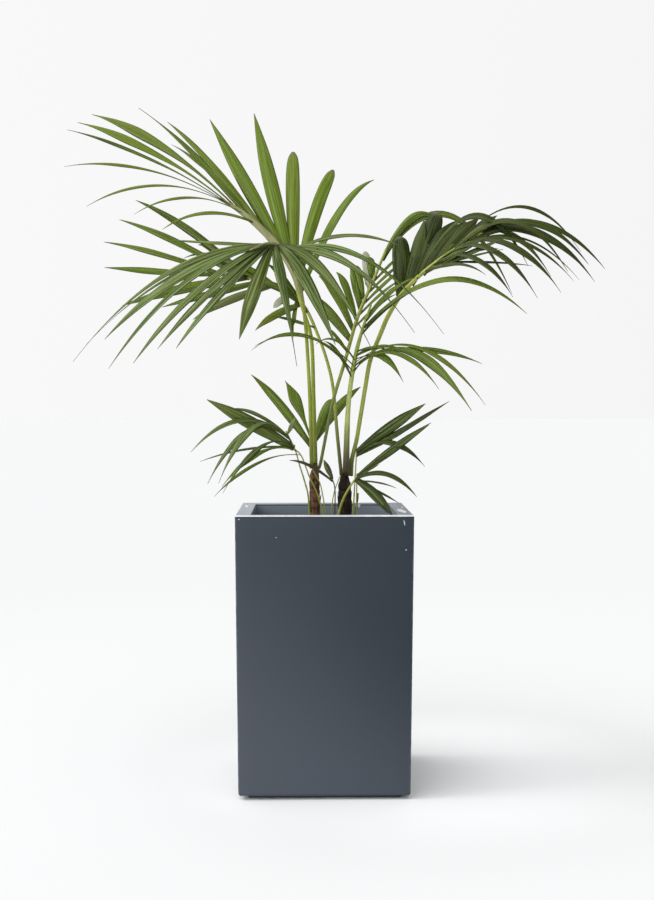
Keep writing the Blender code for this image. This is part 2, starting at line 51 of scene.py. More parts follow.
# ---------------------------------------------------------------- how a leaflet is shaped
BLADE_ACROSS = 6
BLADE_ALONG = 26
BLADE_THICKNESS = 0.0005
FOLD_AT_FOOT = math.radians(34)
FOLD_AT_TIP = math.radians(10)
TWIST = math.radians(16)
UNTWISTED_AT = 0.4
CROWDING_AT_TIP = 1.25
LOOK_AHEAD = 0.02
NARROWEST = 0.03
PLEATS = 0.05
RIPPLE = 0.05
RIPPLES_ALONG = 14
BLUNT_DRYNESS = 0.8
# How far below its place a leaflet leaves the stalk, as a fraction of the stalk's length
LEAFLET_INSET = 0.02
# How many times wider than it shows to the front a leaflet may be
WIDEST_TURN = 1.6
STALK_SIDES = 12
STALK_STEPS = 7
STALK_DEPTH = 0.0042
STEM_SIDES = 10
MERGE_DISTANCE = 1e-7

# ---------------------------------------------------------------- the plant
ROOTED_AT = 0.421
STRAIGHT_TO = 0.460


def rooted(x, y, *points):
    """The route of a stem that comes straight up out of the potting mix."""
    return [(x, y, ROOTED_AT), (x, y, STRAIGHT_TO), *points]


# A frond: the route of its stalk, the stalk's half width at places from foot (0) to tip (1), the full
# width of its leaflets, its stalk finish, its leaf finish, and its rows of leaflets. A row is spaced
# evenly between two places on the stalk. A leaflet springs out straight and sags as it goes: its
# bearing in degrees seen from the front (0 right, 90 up), its length, how far its tip sags, how far
# its tip comes forward, the width it shows to the front, and words for its colour and outline.
FRONDS = {
    "frond_upper_left": (
        [(-0.014, 0.005, 0.576), (-0.018, 0.010, 0.705), (-0.022, 0.020, 0.815), (-0.035, 0.025, 0.865),
         (-0.045, 0.035, 0.900), (-0.055, 0.045, 0.945), (-0.080, 0.060, 0.990), (-0.115, 0.075, 1.030),
         (-0.160, 0.095, 1.070), (-0.200, 0.105, 1.095)],
        [(0, 0.0038), (0.3, 0.0036), (0.46, 0.0040), (0.58, 0.0074), (0.80, 0.0066), (1, 0.0026)],
        0.023, "stalk_olive", "leaf_fresh",
        [((0.58, 0.77), [
            (68, 0.400, 0.150, -0.09, 0.017, ""),
            (76, 0.305, 0.070, -0.11, 0.026, "fresh blunt"),
            (90, 0.312, 0.065, -0.12, 0.029, "pale blunt"),
            (102, 0.336, 0.020, -0.12, 0.032, "fresh"),
            (117, 0.330, 0.010, -0.13, 0.029, "fresh"),
            (127, 0.475, 0.080, -0.16, 0.018, "dark whip"),
            (123, 0.395, 0.075, -0.15, 0.015, "olive")]),
         ((0.91, 1.00), [
             (124, 0.250, 0.070, -0.03, 0.006, "olive late"),
             (133, 0.430, 0.115, -0.08, 0.021, "pale late"),
             (139, 0.405, 0.095, -0.05, 0.017, "pale late"),
             (145, 0.375, 0.075, 0.00, 0.009, "dark late"),
             (150, 0.340, 0.115, 0.04, 0.007, "olive late")]),
         ((0.88, 0.98), [
             (160, 0.170, 0.090, 0.07, 0.008, "olive"),
             (154, 0.210, 0.115, 0.09, 0.007, "olive late"),
             (153, 0.290, 0.150, 0.06, 0.007, "olive late")])],
    ),
    "frond_front": (
        [(-0.022, -0.006, 0.576), (-0.025, -0.012, 0.703), (-0.030, -0.020, 0.796), (-0.034, -0.035, 0.849),
         (-0.042, -0.055, 0.903), (-0.054, -0.078, 0.948), (-0.075, -0.100, 0.975), (-0.100, -0.130, 0.980),
         (-0.130, -0.165, 0.965)],
        [(0, 0.0036), (0.3, 0.0033), (0.60, 0.0038), (0.78, 0.0042), (1, 0.0016)],
        0.023, "stalk_olive", "leaf_grey",
        [((0.82, 0.96), [
            (26, 0.230, 0.095, 0.02, 0.008, "olive"),
            (18, 0.300, 0.250, 0.06, 0.013, "grey whip"),
            (10, 0.240, 0.200, 0.08, 0.018, "whip"),
            (-5, 0.170, 0.180, 0.08, 0.023, "whip"),
            (-30, 0.125, 0.120, 0.08, 0.025, ""),
            (-65, 0.110, 0.120, 0.09, 0.022, "whip"),
            (-105, 0.180, 0.000, 0.10, 0.027, "olive"),
            (-135, 0.210, 0.040, 0.10, 0.015, ""),
            (-143, 0.220, 0.055, 0.09, 0.015, ""),
            (-155, 0.235, 0.110, 0.08, 0.016, "fresh"),
            (-172, 0.255, 0.180, 0.06, 0.012, "grey")]),
         ((0.90, 0.94), [
             (177, 0.190, 0.000, -0.03, 0.007, "olive"),
             (184, 0.320, 0.155, -0.01, 0.009, "grey whip"),
             (177, 0.335, 0.225, 0.01, 0.012, "olive whip"),
             (187, 0.270, 0.135, 0.05, 0.018, "fresh")])],
    ),
    "frond_left": (
        [(0.034, 0.009, 0.562), (0.026, 0.020, 0.645), (0.020, 0.040, 0.719), (0.011, 0.055, 0.767),
         (-0.007, 0.080, 0.823), (-0.036, 0.110, 0.887), (-0.076, 0.135, 0.921), (-0.120, 0.155, 0.940),
         (-0.168, 0.170, 0.951), (-0.232, 0.185, 0.960)],
        [(0, 0.0034), (0.4, 0.0030), (0.7, 0.0034), (1, 0.0016)], 0.019, "stalk_green", "leaf_fresh",
        [((0.60, 0.64), [
            (119, 0.155, 0.050, 0.00, 0.014, "dark"),
            (136, 0.120, 0.055, 0.01, 0.016, "dark")]),
         ((0.75, 0.97), [
             (134, 0.120, 0.045, 0.01, 0.012, "fresh"),
             (141, 0.115, 0.045, 0.01, 0.014, ""),
             (133, 0.110, 0.040, -0.02, 0.016, "brown"),
             (133, 0.205, 0.105, -0.04, 0.009, "dark"),
             (134, 0.325, 0.070, -0.07, 0.017, "dark"),
             (145, 0.295, 0.050, -0.05, 0.015, ""),
             (114, 0.165, 0.085, -0.05, 0.014, "brown"),
             (157, 0.260, 0.035, -0.02, 0.013, ""),
             (177, 0.220, 0.000, 0.00, 0.015, "")]),
         ((0.54, 0.54), [
             (173, 0.075, 0.000, 0.01, 0.007, "dark")]),
         ((0.64, 0.70), [
             (-150, 0.095, 0.015, 0.05, 0.017, "olive"),
             (-88, 0.085, 0.000, 0.04, 0.010, "grey"),
             (-120, 0.040, 0.000, 0.02, 0.016, "straw blunt")]),
         ((0.77, 0.87), [
             (-159, 0.155, 0.020, 0.06, 0.018, "brown"),
             (-162, 0.190, 0.000, 0.05, 0.017, ""),
             (-170, 0.235, 0.020, 0.05, 0.021, "fresh")])],
    ),
    "frond_back_right": (
        [(-0.0085, -0.005, 0.576), (-0.0045, -0.010, 0.590), (0.003, -0.014, 0.629), (0.018, -0.022, 0.703),
         (0.040, -0.018, 0.776), (0.064, -0.002, 0.858), (0.095, 0.025, 0.930), (0.120, 0.040, 0.990)],
        [(0, 0.0030), (0.3, 0.0030), (0.7, 0.0034), (1, 0.0024)], 0.020, "stalk_dark", "leaf_fresh",
        [((0.53, 0.87), [
            (138, 0.055, 0.000, 0.00, 0.008, ""),
            (132, 0.120, 0.000, -0.07, 0.021, ""),
            (115, 0.160, 0.050, -0.03, 0.018, ""),
            (107, 0.140, 0.050, -0.04, 0.016, ""),
            (102, 0.105, 0.030, -0.04, 0.019, ""),
            (101, 0.125, 0.065, -0.04, 0.015, "olive"),
            (97, 0.070, 0.000, -0.04, 0.019, "straw blunt"),
            (101, 0.040, 0.000, -0.03, 0.016, "blunt")]),
         ((0.64, 0.86), [
             (44, 0.105, 0.020, 0.00, 0.006, ""),
             (45, 0.115, 0.020, -0.02, 0.006, "fresh"),
             (45, 0.110, 0.015, -0.02, 0.007, ""),
             (46, 0.110, 0.020, -0.03, 0.006, "fresh"),
             (47, 0.095, 0.015, -0.02, 0.006, "")]),
         ((0.97, 1.00), [
             (65, 0.245, 0.150, -0.02, 0.017, "dark"),
             (56, 0.440, 0.445, -0.04, 0.015, "dark")])],
    ),
    "frond_middle": (
        [(0.042, -0.007, 0.562), (0.044, -0.010, 0.646), (0.0465, -0.015, 0.696), (0.051, -0.022, 0.737),
         (0.056, -0.035, 0.770), (0.063, -0.050, 0.805), (0.073, -0.070, 0.840), (0.085, -0.090, 0.875)],
        [(0, 0.0066), (0.12, 0.0054), (0.3, 0.0044), (0.6, 0.0042), (1, 0.0018)],
        0.015, "stalk_pale", "leaf_fresh",
        [((0.58, 0.68), [
            (117, 0.115, 0.045, 0.02, 0.007, "dark"),
            (131, 0.285, 0.185, 0.03, 0.005, "grey"),
            (139, 0.240, 0.130, 0.05, 0.004, "grey"),
            (126, 0.125, 0.080, 0.02, 0.005, "olive")]),
         ((0.59, 0.73), [
             (58, 0.170, 0.165, 0.05, 0.014, "grey late"),
             (45, 0.210, 0.190, 0.10, 0.010, "late"),
             (39, 0.260, 0.250, 0.12, 0.019, "late"),
             (37, 0.285, 0.255, 0.10, 0.009, "olive late"),
             (17, 0.235, 0.085, 0.06, 0.011, "dark late"),
             (27, 0.095, 0.040, 0.01, 0.007, "grey"),
             (14, 0.060, 0.020, 0.01, 0.005, "")]),
         ((0.84, 0.96), [
             (50, 0.445, 0.310, 0.06, 0.008, "grey"),
             (47, 0.415, 0.290, 0.08, 0.010, "fresh"),
             (54, 0.150, 0.050, 0.01, 0.007, ""),
             (48, 0.090, 0.015, -0.01, 0.011, "")])],
    ),
    "frond_right": (
        [(0.049, 0.005, 0.562), (0.054, 0.000, 0.595), (0.062, -0.004, 0.629), (0.070, -0.010, 0.678),
         (0.078, -0.015, 0.728), (0.087, -0.022, 0.778), (0.105, -0.030, 0.825), (0.120, -0.035, 0.860),
         (0.145, -0.045, 0.900), (0.180, -0.060, 0.935), (0.220, -0.076, 0.965), (0.260, -0.088, 0.990),
         (0.285, -0.095, 1.005)],
        [(0, 0.0070), (0.07, 0.0044), (0.3, 0.0040), (0.6, 0.0042), (0.8, 0.0034), (1, 0.0018)], 0.030,
        "stalk_green", "leaf_deep",
        [((0.67, 0.91), [
            (93, 0.105, 0.000, -0.03, 0.036, "dark blunt"),
            (78, 0.150, 0.020, -0.04, 0.028, "pale"),
            (72, 0.150, 0.010, -0.05, 0.038, "dark blunt"),
            (66, 0.460, 0.410, 0.06, 0.017, "late"),
            (65, 0.145, 0.035, -0.05, 0.034, "dark"),
            (60, 0.140, 0.035, -0.06, 0.030, ""),
            (55, 0.140, 0.030, -0.06, 0.028, "olive"),
            (50, 0.330, 0.280, -0.11, 0.013, "late"),
            (49, 0.135, 0.030, -0.05, 0.022, ""),
            (41, 0.120, 0.025, -0.05, 0.018, "olive")]),
         ((0.86, 0.98), [
             (42, 0.310, 0.180, -0.08, 0.010, "olive late"),
             (54, 0.410, 0.330, -0.07, 0.008, "late"),
             (39, 0.335, 0.255, -0.04, 0.013, "olive"),
             (39, 0.260, 0.215, 0.00, 0.016, "fresh")]),
         ((0.79, 0.97), [
             (21, 0.090, 0.060, 0.14, 0.009, ""),
             (39, 0.155, 0.170, 0.14, 0.014, "late"),
             (44, 0.215, 0.230, 0.13, 0.016, "late"),
             (41, 0.250, 0.240, 0.11, 0.017, "late"),
             (35, 0.250, 0.205, 0.09, 0.010, "late"),
             (52, 0.305, 0.290, 0.07, 0.012, "olive"),
             (29, 0.230, 0.180, 0.05, 0.005, ""),
             (29, 0.235, 0.175, 0.05, 0.007, "dark late"),
             (34, 0.255, 0.225, 0.03, 0.016, "dark")]),
         ((0.79, 0.84), [
             (33, 0.115, 0.015, 0.07, 0.014, ""),
             (18, 0.130, 0.000, 0.09, 0.011, "fresh"),
             (7, 0.110, 0.000, 0.10, 0.005, ""),
             (19, 0.105, 0.020, 0.07, 0.006, "fresh"),
             (-7, 0.150, 0.005, 0.10, 0.005, "dark")])],
    ),
    "seedling_left": (
        rooted(-0.026, -0.030, (-0.028, -0.031, 0.522), (-0.034, -0.035, 0.550), (-0.045, -0.045, 0.586),
               (-0.053, -0.055, 0.614), (-0.069, -0.070, 0.647)),
        [(0, 0.0017), (0.4, 0.0015), (1, 0.0012)], 0.018, "stalk_green", "leaf_grey",
        [((0.86, 1.00), [
            (151, 0.175, 0.000, 0.07, 0.026, "pale"),
            (180, 0.165, 0.030, 0.05, 0.004, "grey"),
            (156, 0.130, 0.140, 0.11, 0.010, "grey late"),
            (124, 0.220, 0.255, 0.12, 0.013, "grey late"),
            (135, 0.200, 0.220, 0.10, 0.011, "dark late"),
            (139, 0.225, 0.175, 0.08, 0.009, "grey"),
            (137, 0.145, 0.055, 0.03, 0.007, "dark"),
            (54, 0.030, 0.000, 0.00, 0.009, "brown")])],
    ),
    "seedling_low_left": (
        rooted(-0.001, -0.045, (-0.001, -0.045, 0.494), (-0.007, -0.045, 0.516), (-0.014, -0.050, 0.537),
               (-0.027, -0.060, 0.565), (-0.040, -0.070, 0.600), (-0.053, -0.080, 0.615)),
        [(0, 0.0016), (0.4, 0.0014), (1, 0.0012)], 0.015, "stalk_green", "leaf_fresh",
        [((0.94, 1.00), [
            (176, 0.150, 0.085, 0.06, 0.006, "late"),
            (160, 0.135, 0.110, 0.08, 0.010, "grey late")])],
    ),
    "seedling_back": (
        rooted(-0.018, 0.040, (-0.018, 0.045, 0.550), (-0.019, 0.050, 0.627)),
        [(0, 0.0019), (0.4, 0.0018), (1, 0.0016)], 0.021, "stalk_green", "leaf_fresh",
        [((0.95, 1.00), [
            (125, 0.210, 0.035, -0.06, 0.019, ""),
            (109, 0.165, 0.035, -0.04, 0.023, "fresh late"),
            (76, 0.175, 0.090, -0.03, 0.017, ""),
            (57, 0.170, 0.040, -0.04, 0.020, "")])],
    ),
    "seedling_right": (
        rooted(0.053, -0.029, (0.057, -0.029, 0.537), (0.061, -0.033, 0.611)),
        [(0, 0.0017), (0.4, 0.0015), (1, 0.0012)], 0.022, "stalk_green", "leaf_deep",
        [((0.96, 1.00), [
            (45, 0.170, 0.140, 0.07, 0.013, "dark late"),
            (27, 0.185, -0.010, 0.06, 0.011, "dark"),
            (35, 0.150, 0.000, 0.05, 0.022, "dark")])],
    ),
    "seedling_low_right": (
        rooted(0.060, -0.045, (0.060, -0.048, 0.510), (0.061, -0.050, 0.569)),
        [(0, 0.0016), (0.4, 0.0014), (1, 0.0012)], 0.014, "stalk_green", "leaf_deep",
        [((0.98, 1.00), [
            (38, 0.165, 0.005, 0.06, 0.014, "dark"),
            (32, 0.150, -0.010, 0.05, 0.007, "dark")])],
    ),
    "seedling_front": (
        rooted(0.026, -0.064, (0.0275, -0.065, 0.496), (0.035, -0.070, 0.522), (0.045, -0.075, 0.542),
               (0.060, -0.080, 0.566)),
        [(0, 0.0026), (0.4, 0.0024), (1, 0.0016)], 0.020, "stalk_green", "leaf_deep",
        [((0.95, 1.00), [
            (0, 0.075, 0.015, 0.02, 0.003, "brown"),
            (-26, 0.085, 0.005, 0.03, 0.005, ""),
            (-36, 0.080, 0.020, 0.06, 0.020, "dark"),
            (32, 0.125, 0.100, 0.04, 0.009, "fresh"),
            (29, 0.045, 0.000, 0.02, 0.003, "fresh")])],
    ),
    "withered_leaf": (
        rooted(0.018, -0.084, (0.020, -0.085, 0.537), (0.014, -0.085, 0.564)),
        [(0, 0.0015), (0.4, 0.0012), (1, 0.0010)], 0.011, "stalk_dry", "leaf_dry",
        [((0.97, 1.00), [
            (138, 0.105, 0.035, 0.02, 0.006, ""),
            (115, 0.035, 0.000, 0.00, 0.011, "")])],
    ),
}

BARE_STEMS = {
    "bare_stem_left": rooted(0.006, -0.024, (0.004, -0.024, 0.493), (-0.005, -0.024, 0.544),
                             (-0.014, -0.025, 0.563), (-0.023, -0.030, 0.581)),
    "bare_stem_right": rooted(0.015, -0.023, (0.0145, -0.022, 0.493), (0.019, -0.021, 0.529),
                              (0.030, -0.021, 0.562)),
}

BARE_STEM_HALF_WIDTHS = [(0, 0.0014), (0.4, 0.0012), (1, 0.0009)]

# How light, how yellow and how dry each kind of leaflet is. The lightness is partly painted light: "pale"
# leaflets carry a painted highlight, "grey" ones a painted sheen and "dark" ones partly painted shade.
LEAFLET_TONES_AND_LIGHT = {
    "": (0.50, 0.40, 0.25),
    "fresh": (0.76, 0.50, 0.20),
    "pale": (0.85, 0.70, 0.25),
    "olive": (0.50, 0.85, 0.45),
    "grey": (0.66, 0.20, 0.45),
    "dark": (0.16, 0.25, 0.40),
    "brown": (0.45, 0.90, 0.93),
    "straw": (0.90, 0.40, 1.00),
}

# Outline of a leaflet: its width, as a fraction of its widest, at places from foot to tip
OUTLINES = {
    "lance": ((0, 0.50), (0.18, 0.80), (0.42, 1.0), (0.66, 0.84), (0.86, 0.40), (1, 0.03)),
    "blunt": ((0, 0.50), (0.18, 0.78), (0.45, 1.0), (0.78, 0.93), (0.94, 0.66), (1, 0.22)),
    "whip": ((0, 0.60), (0.18, 0.90), (0.36, 1.0), (0.58, 0.66), (0.78, 0.22), (0.86, 0.09), (1, 0.04)),
    "late": ((0, 0.16), (0.30, 0.32), (0.50, 0.80), (0.66, 1.0), (0.82, 0.55), (0.94, 0.14), (1, 0.04)),
}


# ---------------------------------------------------------------- shader building
def feed(tree, socket, value):
    """Link a socket or set its plain value; a colour may leave out its alpha."""
    if isinstance(value, bpy.types.NodeSocket):
        tree.links.new(value, socket)
    elif socket.type == "RGBA" and len(value) == 3:
        socket.default_value = (*value, 1.0)
    else:
        socket.default_value = value


def put(tree, kind, inputs=None, **settings):
    """Add a node; inputs are plain values or the sockets that feed it."""
    node = tree.nodes.new(kind)
    for name, value in settings.items():
        setattr(node, name, value)
    for name, value in (inputs or {}).items():
        feed(tree, node.inputs[name], value)
    return node


def calc(tree, operation, a, b=0.0, clamp=False):
    node = put(tree, "ShaderNodeMath", {0: a, 1: b}, operation=operation, use_clamp=clamp)
    return node.outputs[0]


def times(tree, a, b):
    return calc(tree, "MULTIPLY", a, b)


def sloped(tree, value, slope, base):
    """A value times a slope, on top of a base."""
    return calc(tree, "ADD", times(tree, value, slope), base)


def spread(tree, value, low, high, to_low=0.0, to_high=1.0):
    """Map a value smoothly from one range to another, held at the ends."""
    inputs = {"Value": value, "From Min": low, "From Max": high, "To Min": to_low, "To Max": to_high}
    return put(tree, "ShaderNodeMapRange", inputs, interpolation_type="SMOOTHSTEP").outputs["Result"]


def blend_colour(tree, factor, first, second, how="MIX"):
    inputs = {0: factor, 6: first, 7: second}
    return put(tree, "ShaderNodeMix", inputs, data_type="RGBA", blend_type=how).outputs[2]


def lay_on(tree, colour, *coats):
    """Lay coats over a colour, one after another; each is a mask and the colour that it lets in."""
    for mask, coat in coats:
        colour = blend_colour(tree, mask, colour, coat)
    return colour


def grain(tree, vector, scale, detail=3.0, roughness=0.55):
    inputs = {"Vector": vector, "Scale": scale, "Detail": detail, "Roughness": roughness}
    return put(tree, "ShaderNodeTexNoise", inputs).outputs["Fac"]


def new_group(name, inputs, outputs):
    """A shader node group with named sockets; returns the tree, its input node and its output node."""
    tree = bpy.data.node_groups.new(name, "ShaderNodeTree")
    for side, sockets in (("INPUT", inputs), ("OUTPUT", outputs)):
        for socket, kind in sockets.items():
            tree.interface.new_socket(socket, in_out=side, socket_type="NodeSocket" + kind)
    return tree, tree.nodes.new("NodeGroupInput"), tree.nodes.new("NodeGroupOutput")


def use_group(tree, group, inputs):
    return put(tree, "ShaderNodeGroup", inputs, node_tree=group)


FIBRE_STRETCH = 2.2
FIBRE_MASK = (0.42, 0.64)
STREAK_HEIGHT, RIDGE_HEIGHT = 0.6, 0.4


def plant_fibres_group():
    """Fine lines that run along a leaf or stalk: a mask of the lines, and a height for bump."""
    tree, given, result = new_group(
        "plant_fibres",
        {"Across": "Float", "Along": "Float", "Seed": "Float", "Lines": "Float"},
        {"Mask": "Float", "Height": "Float"})
    across = times(tree, given.outputs["Across"], given.outputs["Lines"])
    along = times(tree, given.outputs["Along"], FIBRE_STRETCH)
    place = put(tree, "ShaderNodeCombineXYZ", {"X": across, "Y": along, "Z": given.outputs["Seed"]})
    streaks = grain(tree, place.outputs[0], 1.0, 2.0, 0.6)
    ridges = calc(tree, "ABSOLUTE", calc(tree, "SINE", times(tree, across, math.pi)))
    tree.links.new(spread(tree, streaks, *FIBRE_MASK), result.inputs["Mask"])
    height = calc(tree, "ADD", times(tree, streaks, STREAK_HEIGHT), times(tree, ridges, RIDGE_HEIGHT))
    tree.links.new(height, result.inputs["Height"])
    return tree


CLOUD_LIGHTENING = (1.35, 1.30, 1.25)
SPECK_COLOUR = (0.30, 0.31, 0.32)
FINE_DARKENING = 0.16
BLACK = (0.0, 0.0, 0.0)


def weathering_group():
    """Cloudy lightening and small specks on a matt surface, with a roughness that follows them."""
    tree, given, result = new_group(
        "weathering",
        {"Place": "Vector", "Colour": "Color", "Cloud Size": "Float", "Clouds": "Float", "Specks": "Float"},
        {"Colour": "Color", "Roughness": "Float", "Height": "Float"})
    place = given.outputs["Place"]
    clouds = grain(tree, place, given.outputs["Cloud Size"], 5.0, 0.62)
    fine = grain(tree, place, 420.0, 3.0, 0.7)
    pits = put(tree, "ShaderNodeTexVoronoi", {"Vector": place, "Scale": 260.0}).outputs["Distance"]
    speck = times(tree, spread(tree, pits, 0.16, 0.04), given.outputs["Specks"])
    lift = times(tree, spread(tree, clouds, 0.32, 0.75), given.outputs["Clouds"])
    lighter = blend_colour(tree, 1.0, given.outputs["Colour"], CLOUD_LIGHTENING, "MULTIPLY")
    colour = lay_on(tree, given.outputs["Colour"], (lift, lighter),
                    (times(tree, fine, FINE_DARKENING), BLACK), (speck, SPECK_COLOUR))
    tree.links.new(colour, result.inputs["Colour"])
    tree.links.new(sloped(tree, clouds, 0.20, 0.34), result.inputs["Roughness"])
    height = calc(tree, "SUBTRACT", times(tree, fine, 0.5), speck)
    tree.links.new(height, result.inputs["Height"])
    return tree


# Colours that more than one kind of leaf or stalk has
LEAF_MARGIN = (0.022, 0.018, 0.007)
LEAF_FOOT_PAINTED_SHADE = (0.04, 0.05, 0.010)
DRYING_TIP = (0.22, 0.20, 0.13)
STRAW = (0.19, 0.175, 0.105)
BLEACHED_STRAW = (0.50, 0.52, 0.44)
LIGHT_LET_THROUGH = (1.30, 1.15, 0.45)
STALK_STREAK = (0.55, 0.52, 0.42)
SCURF = (0.11, 0.07, 0.03)
# How many fibres lie side by side on a leaflet, round a stalk and round a trunk
LEAF_LINES, STALK_LINES, BARK_LINES = 14.0, 9.0, 34.0

FIBRES = plant_fibres_group()
WEATHERING = weathering_group()


def new_material(name, **shader_values):
    """A material whose Principled shader has these constant values."""
    material = bpy.data.materials.new(name)
    material.use_nodes = True
    shader = material.node_tree.nodes["Principled BSDF"]
    for socket, value in shader_values.items():
        shader.inputs[socket.replace("_", " ")].default_value = value
    return material, material.node_tree, shader


def paint(tree, shader, colour, roughness):
    tree.links.new(colour, shader.inputs["Base Color"])
    tree.links.new(roughness, shader.inputs["Roughness"])


def dent(tree, shader, height, strength, distance):
    """Feed a height through a Bump node into the shader's normal."""
    bump = put(tree, "ShaderNodeBump", {"Height": height, "Strength": strength, "Distance": distance})
    tree.links.new(bump.outputs["Normal"], shader.inputs["Normal"])


def split(tree, vector):
    return put(tree, "ShaderNodeSeparateXYZ", {"Vector": vector}).outputs


def object_place(tree):
    return put(tree, "ShaderNodeTexCoord").outputs["Object"]


def surface_place(tree):
    """Across and along a leaf or stalk, from its UV map."""
    parts = split(tree, put(tree, "ShaderNodeUVMap", uv_map="lay").outputs[0])
    return parts["X"], parts["Y"]


def leaf_material(name, deep, fresh, yellow, vein, roughness=0.38, through=0.35):
    """Leaf skin: veins, a paler midrib, thin dark margins, painted shade at the foot, a drying tip, and a
    green that follows each leaflet's lightness, which partly holds painted light.
    """
    material, tree, shader = new_material(name, Specular_IOR_Level=0.20)
    across, along = surface_place(tree)
    tone_and_light = put(tree, "ShaderNodeAttribute", attribute_name="tone_and_light").outputs["Color"]
    parts = put(tree, "ShaderNodeSeparateColor", {"Color": tone_and_light}).outputs
    light, yellowness, dryness = parts["Red"], parts["Green"], parts["Blue"]
    fibres = use_group(tree, FIBRES, {"Across": across, "Along": along, "Lines": LEAF_LINES,
                                      "Seed": times(tree, light, 37.0)})
    patch = grain(tree, object_place(tree), 34.0, 4.0)
    # each leaflet's lightness, partly painted highlight, sheen and shade, moves its green from deep to fresh
    tone = calc(tree, "ADD", times(tree, patch, 0.5), calc(tree, "SUBTRACT", light, 0.25), True)
    from_middle = calc(tree, "ABSOLUTE", calc(tree, "SUBTRACT", across, 0.5))
    ragged = calc(tree, "ADD", along, times(tree, patch, 0.10))
    green = blend_colour(tree, tone, deep, fresh)
    colour = lay_on(
        tree, green,
        (times(tree, yellowness, 0.75), blend_colour(tree, 0.5, green, yellow)),
        (times(tree, fibres.outputs["Mask"], 0.80), vein),
        (spread(tree, from_middle, 0.030, 0.008, 0.0, 0.6), vein),
        (spread(tree, from_middle, 0.44, 0.495, 0.0, 0.75), LEAF_MARGIN),
        # painted shade at the leaflet's foot, where it folds against the stalk
        (spread(tree, along, 0.13, 0.02, 0.0, 0.55), LEAF_FOOT_PAINTED_SHADE),
        (times(tree, spread(tree, ragged, 0.90, 1.04), dryness), DRYING_TIP),
        (spread(tree, dryness, 0.86, 1.0, 0.0, 0.85),
         blend_colour(tree, spread(tree, light, 0.5, 0.9), STRAW, BLEACHED_STRAW)))
    paint(tree, shader, colour, sloped(tree, patch, 0.20, roughness))
    dent(tree, shader, fibres.outputs["Height"], 0.35, 0.0006)
    lit = blend_colour(tree, 1.0, colour, LIGHT_LET_THROUGH, "MULTIPLY")
    glow = put(tree, "ShaderNodeBsdfTranslucent", {"Color": lit})
    both = put(tree, "ShaderNodeMixShader", {0: through, 1: shader.outputs[0], 2: glow.outputs[0]})
    tree.links.new(both.outputs[0], tree.nodes["Material Output"].inputs["Surface"])
    return material


def stalk_material(name, foot, middle, top, scurf=0.3):
    """Leaf stalk: dull at the foot, smooth above, with lengthwise streaks and brown scurf."""
    material, tree, shader = new_material(name, Specular_IOR_Level=0.4)
    across, along = surface_place(tree)
    colour = lay_on(tree, foot, (spread(tree, along, 0.02, 0.22), middle),
                    (spread(tree, along, 0.38, 0.58), top))
    fibres = use_group(tree, FIBRES, {"Across": across, "Along": times(tree, along, 8.0),
                                      "Lines": STALK_LINES, "Seed": 3.0})
    dim = blend_colour(tree, 1.0, colour, STALK_STREAK, "MULTIPLY")
    flecks = grain(tree, object_place(tree), 620.0, 2.0, 0.8)
    colour = lay_on(tree, colour, (times(tree, fibres.outputs["Mask"], 0.55), dim),
                    (times(tree, spread(tree, flecks, 0.55, 0.72), scurf), SCURF))
    paint(tree, shader, colour, sloped(tree, flecks, 0.3, 0.32))
    dent(tree, shader, fibres.outputs["Height"], 0.30, 0.0008)
    return material


def bark_material(name, dark, warm, pale):
    """Trunk: old leaf bases in rings, torn into coarse upright fibres."""
    material, tree, shader = new_material(name, Specular_IOR_Level=0.25)
    across, along = surface_place(tree)
    fibres = use_group(tree, FIBRES, {"Across": across, "Along": times(tree, along, 6.0),
                                      "Lines": BARK_LINES, "Seed": 11.0})
    height = put(tree, "ShaderNodeCombineXYZ", {"Y": times(tree, along, 26.0)})
    rings = grain(tree, height.outputs[0], 1.0)
    patch = grain(tree, object_place(tree), 90.0, 4.0)
    colour = lay_on(tree, dark, (spread(tree, patch, 0.35, 0.65), warm),
                    (times(tree, fibres.outputs["Mask"], 0.55), pale),
                    (spread(tree, rings, 0.50, 0.62, 0.0, 0.6), dark))
    paint(tree, shader, colour, sloped(tree, patch, 0.3, 0.6))
    relief = calc(tree, "ADD", fibres.outputs["Height"], times(tree, rings, 0.8))
    dent(tree, shader, relief, 0.8, 0.0015)
    return material


def edge_distance_group():
    """How far a point on a box-shaped skin is from the nearest edge of the box."""
    tree, given, result = new_group(
        "edge_distance",
        {"Place": "Vector", "Half": "Float", "Top": "Float"},
        {"Distance": "Float"})
    parts = split(tree, given.outputs["Place"])
    half = given.outputs["Half"]
    gaps = [calc(tree, "ABSOLUTE", calc(tree, "SUBTRACT", half, calc(tree, "ABSOLUTE", part)))
            for part in (parts["X"], parts["Y"])]
    level = calc(tree, "ABSOLUTE", calc(tree, "SUBTRACT", given.outputs["Top"], parts["Z"]))
    level = calc(tree, "MINIMUM", level, calc(tree, "ABSOLUTE", parts["Z"]))
    nearer, further = calc(tree, "MINIMUM", *gaps), calc(tree, "MAXIMUM", *gaps)
    second = calc(tree, "MAXIMUM", nearer, calc(tree, "MINIMUM", further, level))
    tree.links.new(second, result.inputs["Distance"])
    return tree


EDGE_DISTANCE = edge_distance_group()


# Colours of the planter, from its body to its rim
SLATE = (0.0105, 0.0205, 0.0315)
PAINTED_LIGHT_LOW_LEFT = (0.056, 0.068, 0.089)
PAINTED_LIGHT_INSIDE = (0.300, 0.345, 0.410)
PAINTED_LIGHT_FROM_LEFT = (0.055, 0.064, 0.080)
RUBBED_EDGE = (0.20, 0.22, 0.25)
PAINTED_SHADE_UNDER_RIM = (0.004, 0.007, 0.011)
RIM_RIGHT = (0.17, 0.19, 0.22)
RIM_PAINTED_LIGHT_LEFT = (0.34, 0.37, 0.42)
RIM_PAINTED_REFLECTION = (0.80, 0.82, 0.85)
BARE_DULL = (0.72, 0.74, 0.77)
BARE_BRIGHT = (0.88, 0.89, 0.90)
